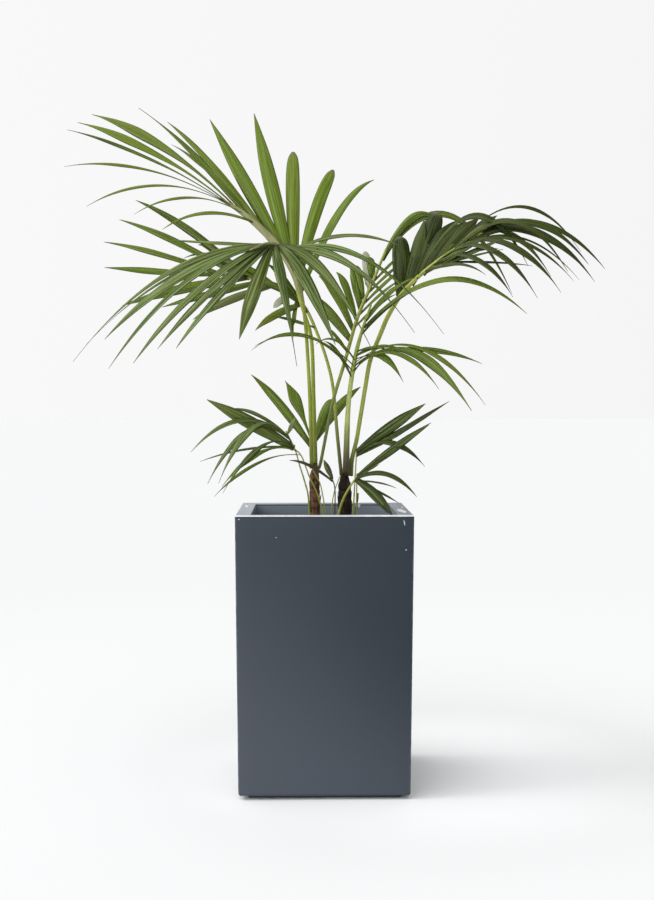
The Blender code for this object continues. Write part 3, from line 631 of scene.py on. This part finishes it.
# Where each of them starts and is full, in metres
HALF_SIDE_AT_FLOOR = 0.1515
SIDE_SLOPE = 0.012
TOP_HEIGHT = 0.5
INSIDE_HALF_SIDES = (0.1445, 0.1425)
INSIDE_HEIGHTS = (0.40, 0.42)
LEFT_LIGHT_SPAN = (0.16, -0.16)
RUBBED_FROM_EDGE = (0.0034, 0.0006)
LINE_FROM, LINE_TO = (0.4955, 0.4965), (0.4985, 0.4975)
RIM_HEIGHTS = (0.4983, 0.4990)
RIM_LIGHT_SPAN = (0.05, -0.12)
RIM_REFLECTION_DEPTHS = (-0.139, -0.146)


def clay_material():
    """Slate grey fibre clay: clouded, faintly pitted, rubbed pale on its edges, with painted light on its
    lower left, its left and its inner walls, a painted shade line under the rim, and a pale rim painted
    lighter on its left with a painted reflection along its front.
    """
    material, tree, shader = new_material("slate_fibre_clay", Specular_IOR_Level=0.40)
    place = object_place(tree)
    parts = split(tree, place)
    x, y, z = parts["X"], parts["Y"], parts["Z"]
    skin = use_group(tree, WEATHERING, {"Place": place, "Colour": SLATE, "Cloud Size": 5.5,
                                        "Clouds": 0.35, "Specks": 0.02})
    low_left = calc(tree, "SUBTRACT", times(tree, x, -0.7), z)
    reach = calc(tree, "MAXIMUM", calc(tree, "ABSOLUTE", x), calc(tree, "ABSOLUTE", y))
    lit_inside = times(tree, spread(tree, reach, *INSIDE_HALF_SIDES), spread(tree, z, *INSIDE_HEIGHTS))
    half = sloped(tree, z, SIDE_SLOPE, HALF_SIDE_AT_FLOOR)
    edge = use_group(tree, EDGE_DISTANCE, {"Place": place, "Half": half, "Top": TOP_HEIGHT})
    uneven = spread(tree, grain(tree, place, 70.0, 5.0, 0.7), 0.38, 0.66)
    rub = times(tree, spread(tree, edge.outputs["Distance"], *RUBBED_FROM_EDGE), uneven)
    line = times(tree, spread(tree, z, *LINE_FROM), spread(tree, z, *LINE_TO))
    rim = times(tree, spread(tree, z, *RIM_HEIGHTS), spread(tree, uneven, 0.0, 1.0, 0.8, 1.0))
    rim_dust_and_light = blend_colour(tree, spread(tree, x, *RIM_LIGHT_SPAN), RIM_RIGHT, RIM_PAINTED_LIGHT_LEFT)
    colour = lay_on(
        tree, skin.outputs["Colour"],
        # painted light: the body is lighter low and to the left, where the light falls and the floor throws
        # it back up
        (spread(tree, low_left, -0.42, 0.10), PAINTED_LIGHT_LOW_LEFT),
        # painted light: the inner walls are painted lighter, standing in for the light that reaches into the
        # planter's mouth
        (times(tree, lit_inside, 0.85), PAINTED_LIGHT_INSIDE),
        # painted light: the body is lighter towards its left, the side the light comes from
        (times(tree, spread(tree, x, *LEFT_LIGHT_SPAN), 0.34), PAINTED_LIGHT_FROM_LEFT),
        (times(tree, rub, 0.45), RUBBED_EDGE),
        # painted shade: a dark line on the wall just under the rim's top edge
        (times(tree, line, 0.7), PAINTED_SHADE_UNDER_RIM),
        # the rim's top: pale dust, painted lighter on its left where the light falls, and a near-white
        # painted reflection along its front strip
        (rim, blend_colour(tree, spread(tree, y, *RIM_REFLECTION_DEPTHS), rim_dust_and_light, RIM_PAINTED_REFLECTION)))
    paint(tree, shader, colour, skin.outputs["Roughness"])
    dent(tree, shader, skin.outputs["Height"], 0.12, 0.0004)
    return material


def mark_material():
    """Bare pale clay where the coat is scratched or chipped."""
    material, tree, shader = new_material("bare_clay", Specular_IOR_Level=0.3)
    fleck = grain(tree, object_place(tree), 500.0, 4.0, 0.7)
    colour = blend_colour(tree, spread(tree, fleck, 0.35, 0.65), BARE_DULL, BARE_BRIGHT)
    paint(tree, shader, colour, sloped(tree, fleck, 0.2, 0.6))
    return material


def soil_material(name, dark, warm):
    """Moist potting mix or bark: crumbly, dull, mottled from dark to warm brown."""
    material, tree, shader = new_material(name, Specular_IOR_Level=0.2)
    crumbs = grain(tree, object_place(tree), 260.0, 6.0, 0.75)
    blots = grain(tree, object_place(tree), 45.0, 3.0)
    colour = lay_on(tree, dark, (spread(tree, crumbs, 0.38, 0.64), warm),
                    (spread(tree, blots, 0.45, 0.60, 0.0, 0.5), dark))
    paint(tree, shader, colour, sloped(tree, blots, 0.2, 0.75))
    dent(tree, shader, crumbs, 0.9, 0.003)
    return material


# Leaf skins: deep green, fresh green, its yellow, its veins, roughness and the light it lets through
LEAF_SKINS = {
    "leaf_fresh": ((0.024, 0.056, 0.002), (0.140, 0.245, 0.008), (0.26, 0.27, 0.02), (0.27, 0.37, 0.08)),
    "leaf_grey": ((0.009, 0.028, 0.003), (0.050, 0.104, 0.010), (0.17, 0.17, 0.02), (0.29, 0.37, 0.13),
                  0.38, 0.22),
    "leaf_deep": ((0.007, 0.016, 0.001), (0.036, 0.062, 0.003), (0.09, 0.09, 0.008), (0.078, 0.105, 0.022),
                  0.30, 0.20),
    "leaf_dry": ((0.014, 0.009, 0.005), (0.060, 0.042, 0.020), (0.07, 0.05, 0.02), (0.10, 0.08, 0.05),
                 0.55, 0.10),
    "leaf_back": ((0.055, 0.095, 0.012), (0.150, 0.220, 0.036), (0.24, 0.24, 0.05), (0.24, 0.30, 0.11), 0.45),
}
# Stalk skins: colour at the foot, half way and at the top, and how scurfy it is
STALK_SKINS = {
    "stalk_olive": ((0.20, 0.24, 0.02), (0.30, 0.36, 0.03), (0.24, 0.24, 0.10)),
    "stalk_green": ((0.11, 0.12, 0.022), (0.30, 0.35, 0.05), (0.34, 0.37, 0.06)),
    "stalk_pale": ((0.07, 0.05, 0.018), (0.42, 0.50, 0.15), (0.28, 0.34, 0.06), 0.2),
    "stalk_dark": ((0.10, 0.12, 0.02), (0.12, 0.16, 0.025), (0.28, 0.31, 0.05)),
    "stalk_dry": ((0.10, 0.07, 0.04), (0.07, 0.05, 0.03), (0.05, 0.035, 0.02), 0.6),
}
# Bark: dark, warm and pale; potting mix: dark and warm
BARKS = {
    "bark_warm": ((0.034, 0.014, 0.007), (0.19, 0.080, 0.038), (0.28, 0.18, 0.09)),
    "bark_dark": ((0.006, 0.004, 0.002), (0.028, 0.017, 0.009), (0.08, 0.055, 0.025)),
}
SOILS = {
    "soil": ((0.010, 0.006, 0.004), (0.060, 0.036, 0.020)),
    "bark_chip": ((0.045, 0.022, 0.011), (0.16, 0.085, 0.040)),
}
MATERIALS = {"slate_clay": clay_material(), "bare_clay": mark_material()}
for build, skins in ((leaf_material, LEAF_SKINS), (stalk_material, STALK_SKINS), (bark_material, BARKS),
                     (soil_material, SOILS)):
    MATERIALS |= {name: build(name, *skin) for name, skin in skins.items()}


# ---------------------------------------------------------------- curves and frames
def smooth_route(points, steps):
    """Points on a smooth curve through the route's own points, `steps` to each stretch."""
    knots = [Vector(point) for point in points]
    knots = [2 * knots[0] - knots[1], *knots, 2 * knots[-1] - knots[-2]]
    route = []
    for before, start, end, after in zip(knots, knots[1:], knots[2:], knots[3:]):
        for step in range(steps):
            t = step / steps
            route.append(0.5 * ((2 * start) + (end - before) * t
                                + (2 * before - 5 * start + 4 * end - after) * t**2
                                + (3 * start - before - 3 * end + after) * t**3))
    route.append(knots[-2])
    return route


def point_at(route, place):
    """The point a fraction of the way along a route."""
    lengths = [(end - start).length for start, end in pairwise(route)]
    left = place * sum(lengths)
    for start, end, length in zip(route, route[1:], lengths):
        if left <= length:
            return start.lerp(end, left / length)
        left -= length
    return route[-1].copy()


def on_bow(start, middle, end, t):
    """A point on the bow from start to end that passes through middle half way."""
    bend = 2 * middle - (start + end) / 2
    return (1 - t) ** 2 * start + 2 * t * (1 - t) * bend + t**2 * end


def ease(t):
    t = min(1.0, max(0.0, t))
    return t * t * (3 - 2 * t)


# ---------------------------------------------------------------- building pieces
def new_shape():
    """An empty bmesh with the layers that the plant's materials read."""
    shape = bmesh.new()
    shape.loops.layers.uv.new("lay")
    shape.verts.layers.float_color.new("tone_and_light")
    return shape


def sheet(shape, across, along):
    """A flat sheet laid out from -1 to 1, with its UV map; returns its vertices and faces."""
    made = bmesh.ops.create_grid(shape, x_segments=across, y_segments=along, size=1.0)
    lay = shape.loops.layers.uv["lay"]
    faces = {face for vert in made["verts"] for face in vert.link_faces}
    for face in faces:
        for loop in face.loops:
            loop[lay].uv = ((loop.vert.co.x + 1) / 2, (loop.vert.co.y + 1) / 2)
    return made["verts"], list(faces)


def new_mesh(name, shape, materials):
    """Turn a finished bmesh into a mesh with these materials."""
    mesh = bpy.data.meshes.new(name)
    shape.to_mesh(mesh)
    shape.free()
    for material in materials:
        mesh.materials.append(material)
    return mesh


def new_object(name, data):
    made = bpy.data.objects.new(name, data)
    bpy.context.scene.collection.objects.link(made)
    return made


def make_piece(name, shape, materials, slot, *nodes):
    """Turn a finished bmesh into a piece that rides on the one body."""
    mesh = new_mesh(name, shape, [MATERIALS[material] for material in materials])
    mesh.shade_smooth()
    piece = new_object(name, mesh)
    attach(piece, "root")
    if nodes:
        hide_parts(*nodes)
    return piece


def keyed(keys, t):
    """A smooth value at t from (place, value) pairs."""
    places, values = zip(*keys)
    last = len(keys) - 1
    index = next((i for i in range(last) if t <= places[i + 1]), last - 1)

    def slope(i):
        low, high = max(i - 1, 0), min(i + 1, last)
        return (values[high] - values[low]) / (places[high] - places[low])

    span = places[index + 1] - places[index]
    u = (t - places[index]) / span
    return ((2 * u**3 - 3 * u**2 + 1) * values[index] + (u**3 - 2 * u**2 + u) * span * slope(index)
            + (3 * u**2 - 2 * u**3) * values[index + 1] + (u**3 - u**2) * span * slope(index + 1))


def add_leaflet(shape, start, middle, tip, width, shown, words, chance):
    """A leaflet: folded along its midrib, turned so that it shows the front the width it should."""
    verts, faces = sheet(shape, BLADE_ACROSS, BLADE_ALONG)
    tone_and_light = shape.verts.layers.float_color["tone_and_light"]
    outline = next((OUTLINES[word] for word in words if word in OUTLINES), OUTLINES["lance"])
    look = next((LEAFLET_TONES_AND_LIGHT[word] for word in words if word in LEAFLET_TONES_AND_LIGHT), LEAFLET_TONES_AND_LIGHT[""])
    light, yellow, dry = look
    if "blunt" in words:
        dry = max(dry, BLUNT_DRYNESS)
    mark = (light + chance.uniform(-0.10, 0.10), yellow + chance.uniform(-0.15, 0.15), dry, 1.0)
    width = max(min(width, WIDEST_TURN * shown), shown)
    turn = math.acos(min(1.0, shown / width))
    twist = TWIST * chance.uniform(-1, 1)
    wave = chance.uniform(0, math.tau)
    for vert in verts:
        s, t = vert.co.x, (vert.co.y + 1) / 2
        t = 1 - (1 - t) ** CROWDING_AT_TIP
        ahead = on_bow(start, middle, tip, min(t + LOOK_AHEAD, 1))
        behind = on_bow(start, middle, tip, max(t - LOOK_AHEAD, 0))
        along = (ahead - behind).normalized()
        facing = (FRONT - along * FRONT.dot(along)).normalized()
        side = along.cross(facing)
        lean = turn if side.z > 0 else -turn
        lean += twist * (t - UNTWISTED_AT)
        upper = facing * math.cos(lean) + side * math.sin(lean)
        across = along.cross(upper)
        half = 0.5 * width * max(keyed(outline, t), NARROWEST)
        fold = FOLD_AT_FOOT + (FOLD_AT_TIP - FOLD_AT_FOOT) * ease(t)
        lift = -abs(s) * math.sin(fold) + PLEATS * math.cos(3 * math.pi * s)
        lift += RIPPLE * s * math.sin(wave + RIPPLES_ALONG * t)
        vert.co = on_bow(start, middle, tip, t) + across * s * half * math.cos(fold) + upper * half * lift
        vert[tone_and_light] = mark
    thick = bmesh.ops.solidify(shape, geom=faces, thickness=BLADE_THICKNESS)
    for part in thick["geom"]:
        if isinstance(part, bmesh.types.BMFace):
            part.material_index = 1


def add_tube(shape, route, radii, sides, material_index=0, deepest=math.inf):
    """A stalk along a route, closed at its ends; each of its points has a half width.

    From front to back it is no thicker than deepest to either side.
    """
    verts, faces = sheet(shape, sides, len(route) - 1)
    last = len(route) - 1
    for vert in verts:
        angle = vert.co.x * math.pi
        index = round((vert.co.y + 1) / 2 * last)
        along = (route[min(index + 1, last)] - route[max(index - 1, 0)]).normalized()
        side = along.cross(FRONT).normalized()
        deep = min(radii[index], deepest)
        out = side * math.sin(angle) * radii[index] + side.cross(along) * math.cos(angle) * deep
        vert.co = route[index] + out
    for face in faces:
        face.material_index = material_index
    bmesh.ops.remove_doubles(shape, verts=verts, dist=MERGE_DISTANCE)
    edges = {edge for face in faces if face.is_valid for edge in face.edges if edge.is_boundary}
    bmesh.ops.holes_fill(shape, edges=list(edges), sides=0)


def along_route(route, keys):
    last = len(route) - 1
    return [keyed(keys, index / last) for index in range(last + 1)]


def spring_out(start, bearing, length, sag, forward):
    """The middle and the tip of a leaflet that springs out straight and sags under its own weight."""
    turn = math.radians(bearing)
    reach = Vector((length * math.cos(turn), -forward, length * math.sin(turn)))
    return start + reach / 2 - UP * sag / 4, start + reach - UP * sag


def make_frond(name, design):
    points, half_widths, width, stalk, leaf, rows = design
    chance = random.Random(name)
    shape = new_shape()
    route = smooth_route(points, STALK_STEPS)
    add_tube(shape, route, along_route(route, half_widths), STALK_SIDES, 2, STALK_DEPTH)
    for (first, last), leaflets in rows:
        for index, (bearing, length, sag, forward, shown, words) in enumerate(leaflets):
            place = first + (last - first) * index / max(1, len(leaflets) - 1)
            side = FRONT * math.copysign(STALK_DEPTH, forward)
            start = point_at(route, place - LEAFLET_INSET) + side
            middle, tip = spring_out(point_at(route, place), bearing, length, sag, forward)
            add_leaflet(shape, start, middle, tip, width, shown, words.split(), chance)
    bmesh.ops.recalc_face_normals(shape, faces=shape.faces)
    slot = "dry_leaf" if name == "withered_leaf" else "frond"
    make_piece(name + "_grown", shape, (leaf, "leaf_back", stalk), slot, name)


def make_bare_stem(name, points):
    shape = new_shape()
    route = smooth_route(points, STALK_STEPS)
    add_tube(shape, route, along_route(route, BARE_STEM_HALF_WIDTHS), STEM_SIDES)
    bmesh.ops.recalc_face_normals(shape, faces=shape.faces)
    make_piece(name + "_grown", shape, ("stalk_green",), "frond", name)


# ---------------------------------------------------------------- trunks and soil
TRUNK_SIDES = 30
TRUNK_STEPS = 70
TRUNK_CROWN = 0.012
RING_COUNT = 20
RING_GAP = 0.018
RING_LIP = 0.10
NARROWING = 0.55
NARROWING_LENGTH = 0.032
TORN_BASES = 9
TORN_THICKNESS = 0.0007
BARK_KNOBS = 0.10
SWAY = 0.0008


def make_trunk(name, material, seed):
    """A trunk ringed with old leaf bases, narrowing where its living stalks come out."""
    low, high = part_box(name)
    centre = (low + high) / 2
    radius = (high.x - low.x) / 2
    top = high.z + TRUNK_CROWN
    narrow_from = high.z - 0.02
    chance = random.Random(seed)
    rings = [low.z + RING_GAP * step + chance.uniform(-0.003, 0.003) for step in range(RING_COUNT)]
    route, radii = [], []
    for step in range(TRUNK_STEPS + 1):
        z = low.z + (top - low.z) * step / TRUNK_STEPS
        below = max((ring for ring in rings if ring <= z), default=low.z)
        lip = RING_LIP * ease((z - below) / RING_GAP)
        narrowing = 1 - NARROWING * ease((z - narrow_from) / NARROWING_LENGTH)
        sway = SWAY * math.sin(z * 60 + seed)
        route.append(Vector((centre.x + sway, centre.y, z)))
        radii.append(radius * (1 - RING_LIP + lip) * narrowing)
    shape = new_shape()
    add_tube(shape, route, radii, TRUNK_SIDES)
    for vert in shape.verts:
        rough = noise.noise(Vector((vert.co.x * 220, vert.co.y * 220, vert.co.z * 45)))
        vert.co += (vert.co - Vector((centre.x, centre.y, vert.co.z))) * BARK_KNOBS * rough
    for index in range(TORN_BASES):
        add_torn_base(shape, centre, radius, high.z, chance, index)
    bmesh.ops.recalc_face_normals(shape, faces=shape.faces)
    make_piece(name + "_bark", shape, (material,), "trunk", name)


def add_torn_base(shape, centre, radius, top, chance, index):
    """A torn strip of old leaf base that hugs the trunk and frays away from it at its tip."""
    angle = index * 2.4 + chance.uniform(-0.4, 0.4)
    out = Vector((math.sin(angle), -math.cos(angle), 0))
    foot_z = top - chance.uniform(0.015, 0.085)
    length = chance.uniform(0.018, 0.036)
    foot = Vector((centre.x, centre.y, foot_z)) + out * radius * 0.93
    middle = foot + out * 0.0012 + UP * length * 0.5
    tip = foot + out * chance.uniform(0.001, 0.004) + UP * length
    verts, faces = sheet(shape, 4, 10)
    tone_and_light = shape.verts.layers.float_color["tone_and_light"]
    side = out.cross(UP)
    half = radius * chance.uniform(0.35, 0.6)
    for vert in verts:
        s, t = vert.co.x, (vert.co.y + 1) / 2
        wide = half * (1 - 0.9 * t**2.2)
        wrap = (s * wide) ** 2 / (2 * radius) * 1.1
        vert.co = on_bow(foot, middle, tip, t) + side * s * wide - out * wrap
        vert[tone_and_light] = (0.5, 0.5, 0.5, 1.0)
    bmesh.ops.solidify(shape, geom=faces, thickness=TORN_THICKNESS)


def make_stub():
    """The cut stub of an old stalk, slightly bent, uneven and tapering."""
    low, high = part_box("old_stalk_stub")
    foot = Vector((low.x + 0.003, (low.y + high.y) / 2, low.z))
    top = Vector((high.x - 0.002, (low.y + high.y) / 2, high.z - 0.002))
    bend = Vector((0.001, 0, 0))
    route = smooth_route([foot, foot.lerp(top, 0.5) - bend, top], 9)
    last = len(route) - 1
    radii = [0.0027 - 0.0009 * index / last + 0.0003 * math.sin(index * 1.7) for index in range(last + 1)]
    shape = new_shape()
    add_tube(shape, route, radii, STALK_SIDES)
    bmesh.ops.recalc_face_normals(shape, faces=shape.faces)
    make_piece("old_stalk_stub_dry", shape, ("stalk_dry",), "dry_leaf", "old_stalk_stub")


def mix_slump(place, half_side):
    """How far the potting mix sinks towards the wall of the planter."""
    edge = max(abs(place.x), abs(place.y)) / half_side
    return 0.008 * ease((edge - 0.7) / 0.3)


def make_potting_mix():
    """The crumbly block of potting mix, uneven on top."""
    low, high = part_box("potting_mix")
    shape = bmesh.new()
    centre, size = (low + high) / 2, high - low
    block = Matrix.Translation(centre) @ Matrix.Diagonal((*size, 1.0))
    bmesh.ops.create_cube(shape, size=1.0, matrix=block)
    top = max(shape.faces, key=lambda face: face.calc_center_median().z)
    bmesh.ops.subdivide_edges(shape, edges=list(top.edges), cuts=70, use_grid_fill=True)
    on_top = [vert for vert in shape.verts if vert.co.z > high.z - 1e-4]
    for vert in on_top:
        bumps = noise.fractal(vert.co * 55, 1.0, 2.0, 4)
        vert.co.z += 0.0025 * bumps - mix_slump(vert.co, size.x / 2)
    make_piece("potting_mix_block", shape, ("soil",), "potting_mix", "potting_mix")


# Where the trunks and the stub stand, and how much room they need round them
TRUNK_PLACES = [(Vector((-0.016, 0.0)), 0.012), (Vector((0.040, 0.0)), 0.015), (Vector((0.0575, 0.0)), 0.005)]
STEM_ROOM = 0.004


def stem_places():
    """Where trunks and stems come out of the potting mix, each with the room it needs."""
    feet = [design[0][0] for design in FRONDS.values() if design[0][0][2] == ROOTED_AT]
    feet += [points[0] for points in BARE_STEMS.values()]
    return TRUNK_PLACES + [(Vector(foot[:2]), STEM_ROOM) for foot in feet]


def scatter(name, material, count, size, rim_dust_and_light, seed):
    """Loose crumbs lying on the potting mix, each a small faceted lump."""
    low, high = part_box("potting_mix")
    chance = random.Random(seed)
    stems = stem_places()
    shape = bmesh.new()
    reach = (high.x - low.x) / 2 - 0.008
    while count:
        place = Vector((chance.uniform(-reach, reach), chance.uniform(-reach, reach)))
        long = size * chance.uniform(0.5, 1.2)
        if any((place - stem).length < room + long for stem, room in stems):
            continue
        height = high.z - mix_slump(place, reach) + 0.2 * long * rim_dust_and_light
        turn = Matrix.Rotation(chance.uniform(0, math.tau), 4, "Z")
        turn = turn @ Matrix.Rotation(chance.uniform(-0.5, 0.5), 4, "X")
        shrink = Matrix.Diagonal((long, long * chance.uniform(0.45, 0.8), long * rim_dust_and_light, 1.0))
        lump = Matrix.Translation((place.x, place.y, height)) @ turn @ shrink
        made = bmesh.ops.create_icosphere(shape, subdivisions=1, radius=1.0, matrix=lump)
        for vert in made["verts"]:
            knock = Vector((chance.uniform(-1, 1), chance.uniform(-1, 1), chance.uniform(-1, 1)))
            vert.co += knock * long * 0.13
        count -= 1
    piece = make_piece(name, shape, (material,), "potting_mix")
    piece.data.shade_flat()


# ---------------------------------------------------------------- planter
def square_ring(shape, edges, side, height):
    """Grow the open square to a new side and height."""
    grown = bmesh.ops.extrude_edge_only(shape, edges=edges)["geom"]
    for vert in (part for part in grown if isinstance(part, bmesh.types.BMVert)):
        vert.co = Vector((math.copysign(side / 2, vert.co.x), math.copysign(side / 2, vert.co.y), height))
    return [part for part in grown if isinstance(part, bmesh.types.BMEdge)]


RIM_WIDTH = 0.027
RIM_DEPTH = 0.030
RIM_SLOPE = 0.012
WALL = 0.014
WALL_STEP = 0.001
FOOT_SIDE = 0.270
FOOT_HEIGHT = 0.007
LOWER_EDGE = 0.003
FLOOR_TOP = 0.026
TAPER = 0.012
EDGE_ROUND = 0.0017
SHARP = math.radians(40)
LONG_EDGE = 0.03
EDGE_CUTS = 11
COAT_UNEVENNESS = 0.00025


def make_planter():
    """The moulded planter: a set-back foot, tapered walls, a turned-in rim and rounded edges."""
    low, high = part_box("planter")
    top, height = high.x - low.x, high.z
    bottom = top - TAPER
    wall_top = height - RIM_DEPTH - RIM_SLOPE
    rings = [
        (FOOT_SIDE, FOOT_HEIGHT),
        (bottom - 2 * LOWER_EDGE, FOOT_HEIGHT),
        (bottom, FOOT_HEIGHT + LOWER_EDGE),
        (top, height),
        (top - 2 * RIM_WIDTH, height),
        (top - 2 * RIM_WIDTH, height - RIM_DEPTH),
        (top - 2 * WALL - WALL_STEP, wall_top),
        (bottom - 2 * WALL, FLOOR_TOP),
    ]
    shape = bmesh.new()
    bmesh.ops.create_grid(shape, x_segments=1, y_segments=1, size=FOOT_SIDE / 2)
    edges = shape.edges[:]
    for side, level in rings:
        edges = square_ring(shape, edges, side, level)
    bmesh.ops.contextual_create(shape, geom=edges)
    bmesh.ops.recalc_face_normals(shape, faces=shape.faces)
    sharp = [edge for edge in shape.edges if edge.calc_face_angle(0) > SHARP]
    bmesh.ops.bevel(shape, geom=sharp, offset=EDGE_ROUND, offset_type="OFFSET", affect="EDGES", segments=4,
                    profile=0.5, material=-1, clamp_overlap=True)
    long_edges = [edge for edge in shape.edges if edge.calc_length() > LONG_EDGE]
    bmesh.ops.subdivide_edges(shape, edges=long_edges, cuts=EDGE_CUTS, use_grid_fill=True)
    for vert in shape.verts:
        vert.co += vert.normal * COAT_UNEVENNESS * noise.noise(vert.co * 9.0)
    make_piece("planter_shell", shape, ("slate_clay",), "fibre_clay", "planter")


# Chips and scratches: face (front, top or inner back), across, along, half width, half length and lean
PLANTER_MARKS = [
    ("front", -0.150, 0.494, 0.0012, 0.0010, 0),
    ("front", -0.085, 0.462, 0.0007, 0.0009, 0),
    ("front", 0.140, 0.487, 0.0006, 0.0056, 12),
    ("front", 0.143, 0.440, 0.0009, 0.0012, 0),
    ("top", 0.142, -0.055, 0.0085, 0.050, 2),
    ("top", 0.150, 0.030, 0.0022, 0.014, 0),
    ("top", -0.146, 0.060, 0.0030, 0.030, 5),
    ("top", 0.070, 0.145, 0.0050, 0.0100, 0),
    ("back", 0.070, 0.4960, 0.0062, 0.0042, 0),
]
MARK_SIDES = 18
MARK_RELIEF = 0.00025


def make_planter_marks():
    """Flat patches of bare clay where the coat is chipped or scratched."""
    low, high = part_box("planter")
    chance = random.Random(31)
    shape = bmesh.new()
    for face, across, along, half_width, half_length, lean in PLANTER_MARKS:
        turn = Matrix.Rotation(math.radians(lean), 4, "Z")
        lie = turn @ Matrix.Diagonal((half_width, half_length, 1.0, 1.0))
        if face in ("front", "back"):
            front_wall = low.y + (high.z - along) * TAPER / 2 / high.z
            wall = front_wall if face == "front" else high.y - RIM_WIDTH
            place = Matrix.Translation((across, wall - MARK_RELIEF - COAT_UNEVENNESS, along))
            place = place @ Matrix.Rotation(math.radians(90), 4, "X")
        else:
            place = Matrix.Translation((across, along, high.z + MARK_RELIEF + COAT_UNEVENNESS))
        made = bmesh.ops.create_circle(shape, cap_ends=True, segments=MARK_SIDES, radius=1.0)
        for vert in made["verts"]:
            vert.co *= chance.uniform(0.62, 1.12)
        bmesh.ops.transform(shape, matrix=place @ lie, verts=made["verts"])
    make_piece("planter_marks", shape, ("bare_clay",), "fibre_clay")


def build_plant():
    for name, design in FRONDS.items():
        make_frond(name, design)
    for name, points in BARE_STEMS.items():
        make_bare_stem(name, points)
    make_trunk("trunk_left", "bark_warm", 3)
    make_trunk("trunk_right", "bark_dark", 8)
    make_stub()
    make_potting_mix()
    scatter("bark_chips", "bark_chip", 330, 0.0065, 0.45, 21)
    scatter("soil_crumbs", "soil", 420, 0.0035, 0.8, 22)
    make_planter()
    make_planter_marks()


# ---------------------------------------------------------------- studio
FLOOR_REACH = 60.0
# The floor is painted lighter round a centre beside the planter, painted light that thins the planter's
# shadow and the shade round its foot; its shade falls in a near and a far band round it.
FLOOR_LIGHT_CENTRE = Vector((0.20, 0.06, 0))
FLOOR_LIGHT_REACH = (0.10, 0.55)
FLOOR_PAINTED_LIGHT_SHADES = (0.965, 0.752)
FLOOR_AWAY = (0.6, 3.0)
FLOOR_AWAY_DROP = 0.036
SOFTBOX_WAY = Vector((-0.66, -0.46, 0.59))
SOFTBOX_EDGES = (0.05, 0.95)
SOFTBOX_LEVELS = (0.30, 2.0)
BACKDROP_EDGES = (0.55, 0.85)
BACKDROP_LEVEL = 0.93
BACKDROP_DROP = 0.06
SOFTBOX_TINT = (0.985, 0.993, 1.0)
LAMP_WAY = Vector((-0.84, -0.10, 0.80))
LAMP_STRENGTH = 0.84
LAMP_SPREAD = math.radians(28)


def make_floor():
    """A plain pale floor, painted lighter round the planter to thin its shadow, a little darker away from it.
    """
    material, tree, shader = new_material("studio_floor", Roughness=1.0, Specular_IOR_Level=0.0)
    away = put(tree, "ShaderNodeVectorMath", {0: object_place(tree), 1: FLOOR_LIGHT_CENTRE},
               operation="DISTANCE").outputs["Value"]
    shade = calc(tree, "SUBTRACT", spread(tree, away, *FLOOR_LIGHT_REACH, *FLOOR_PAINTED_LIGHT_SHADES),
                 spread(tree, away, *FLOOR_AWAY, 0.0, FLOOR_AWAY_DROP))
    grey = put(tree, "ShaderNodeCombineColor", {"Red": shade, "Green": shade, "Blue": shade})
    tree.links.new(grey.outputs[0], shader.inputs["Base Color"])
    shape = bmesh.new()
    bmesh.ops.create_grid(shape, x_segments=1, y_segments=1, size=FLOOR_REACH)
    floor = new_object("studio_floor", new_mesh("studio_floor", shape, [material]))


def light_studio():
    """An even back wall, a softbox to the front left and a soft lamp from the left."""
    world = bpy.data.worlds.new("studio")
    world.use_nodes = True
    tree = world.node_tree
    way = put(tree, "ShaderNodeTexCoord").outputs["Generated"]
    parts = split(tree, way)
    softbox = put(tree, "ShaderNodeVectorMath", {0: way, 1: SOFTBOX_WAY}, operation="DOT_PRODUCT")
    level = spread(tree, softbox.outputs["Value"], *SOFTBOX_EDGES, *SOFTBOX_LEVELS)
    backdrop = spread(tree, parts["Y"], *BACKDROP_EDGES)
    shown = calc(tree, "SUBTRACT", BACKDROP_LEVEL, times(tree, parts["X"], BACKDROP_DROP))
    level = calc(tree, "ADD", times(tree, level, calc(tree, "SUBTRACT", 1.0, backdrop)),
                 times(tree, shown, backdrop))
    tree.links.new(level, tree.nodes["Background"].inputs["Strength"])
    tint = blend_colour(tree, backdrop, SOFTBOX_TINT, (1.0, 1.0, 1.0))
    tree.links.new(tint, tree.nodes["Background"].inputs["Color"])
    bpy.context.scene.world = world

    key = bpy.data.lights.new("key", "SUN")
    key.energy = LAMP_STRENGTH
    key.angle = LAMP_SPREAD
    lamp = new_object("key", key)
    lamp.rotation_euler = LAMP_WAY.to_track_quat("Z", "Y").to_euler()


CAMERA_PLACE = (-0.036, -2.505, 0.696)
CAMERA_TURN = math.radians(-0.98)
LENS = 53.6
SENSOR = 36.0
LENS_SHIFT = -0.0511


def make_camera():
    """A level camera in front of the plant, with its lens shifted down."""
    lens = bpy.data.cameras.new("camera")
    lens.lens = LENS
    lens.sensor_width = SENSOR
    lens.shift_y = LENS_SHIFT
    camera = new_object("camera", lens)
    camera.location = CAMERA_PLACE
    camera.rotation_euler = (math.radians(90), 0, CAMERA_TURN)
    bpy.context.scene.camera = camera
    bpy.context.scene.view_settings.view_transform = "Standard"


build_plant()
make_floor()
light_studio()
make_camera()
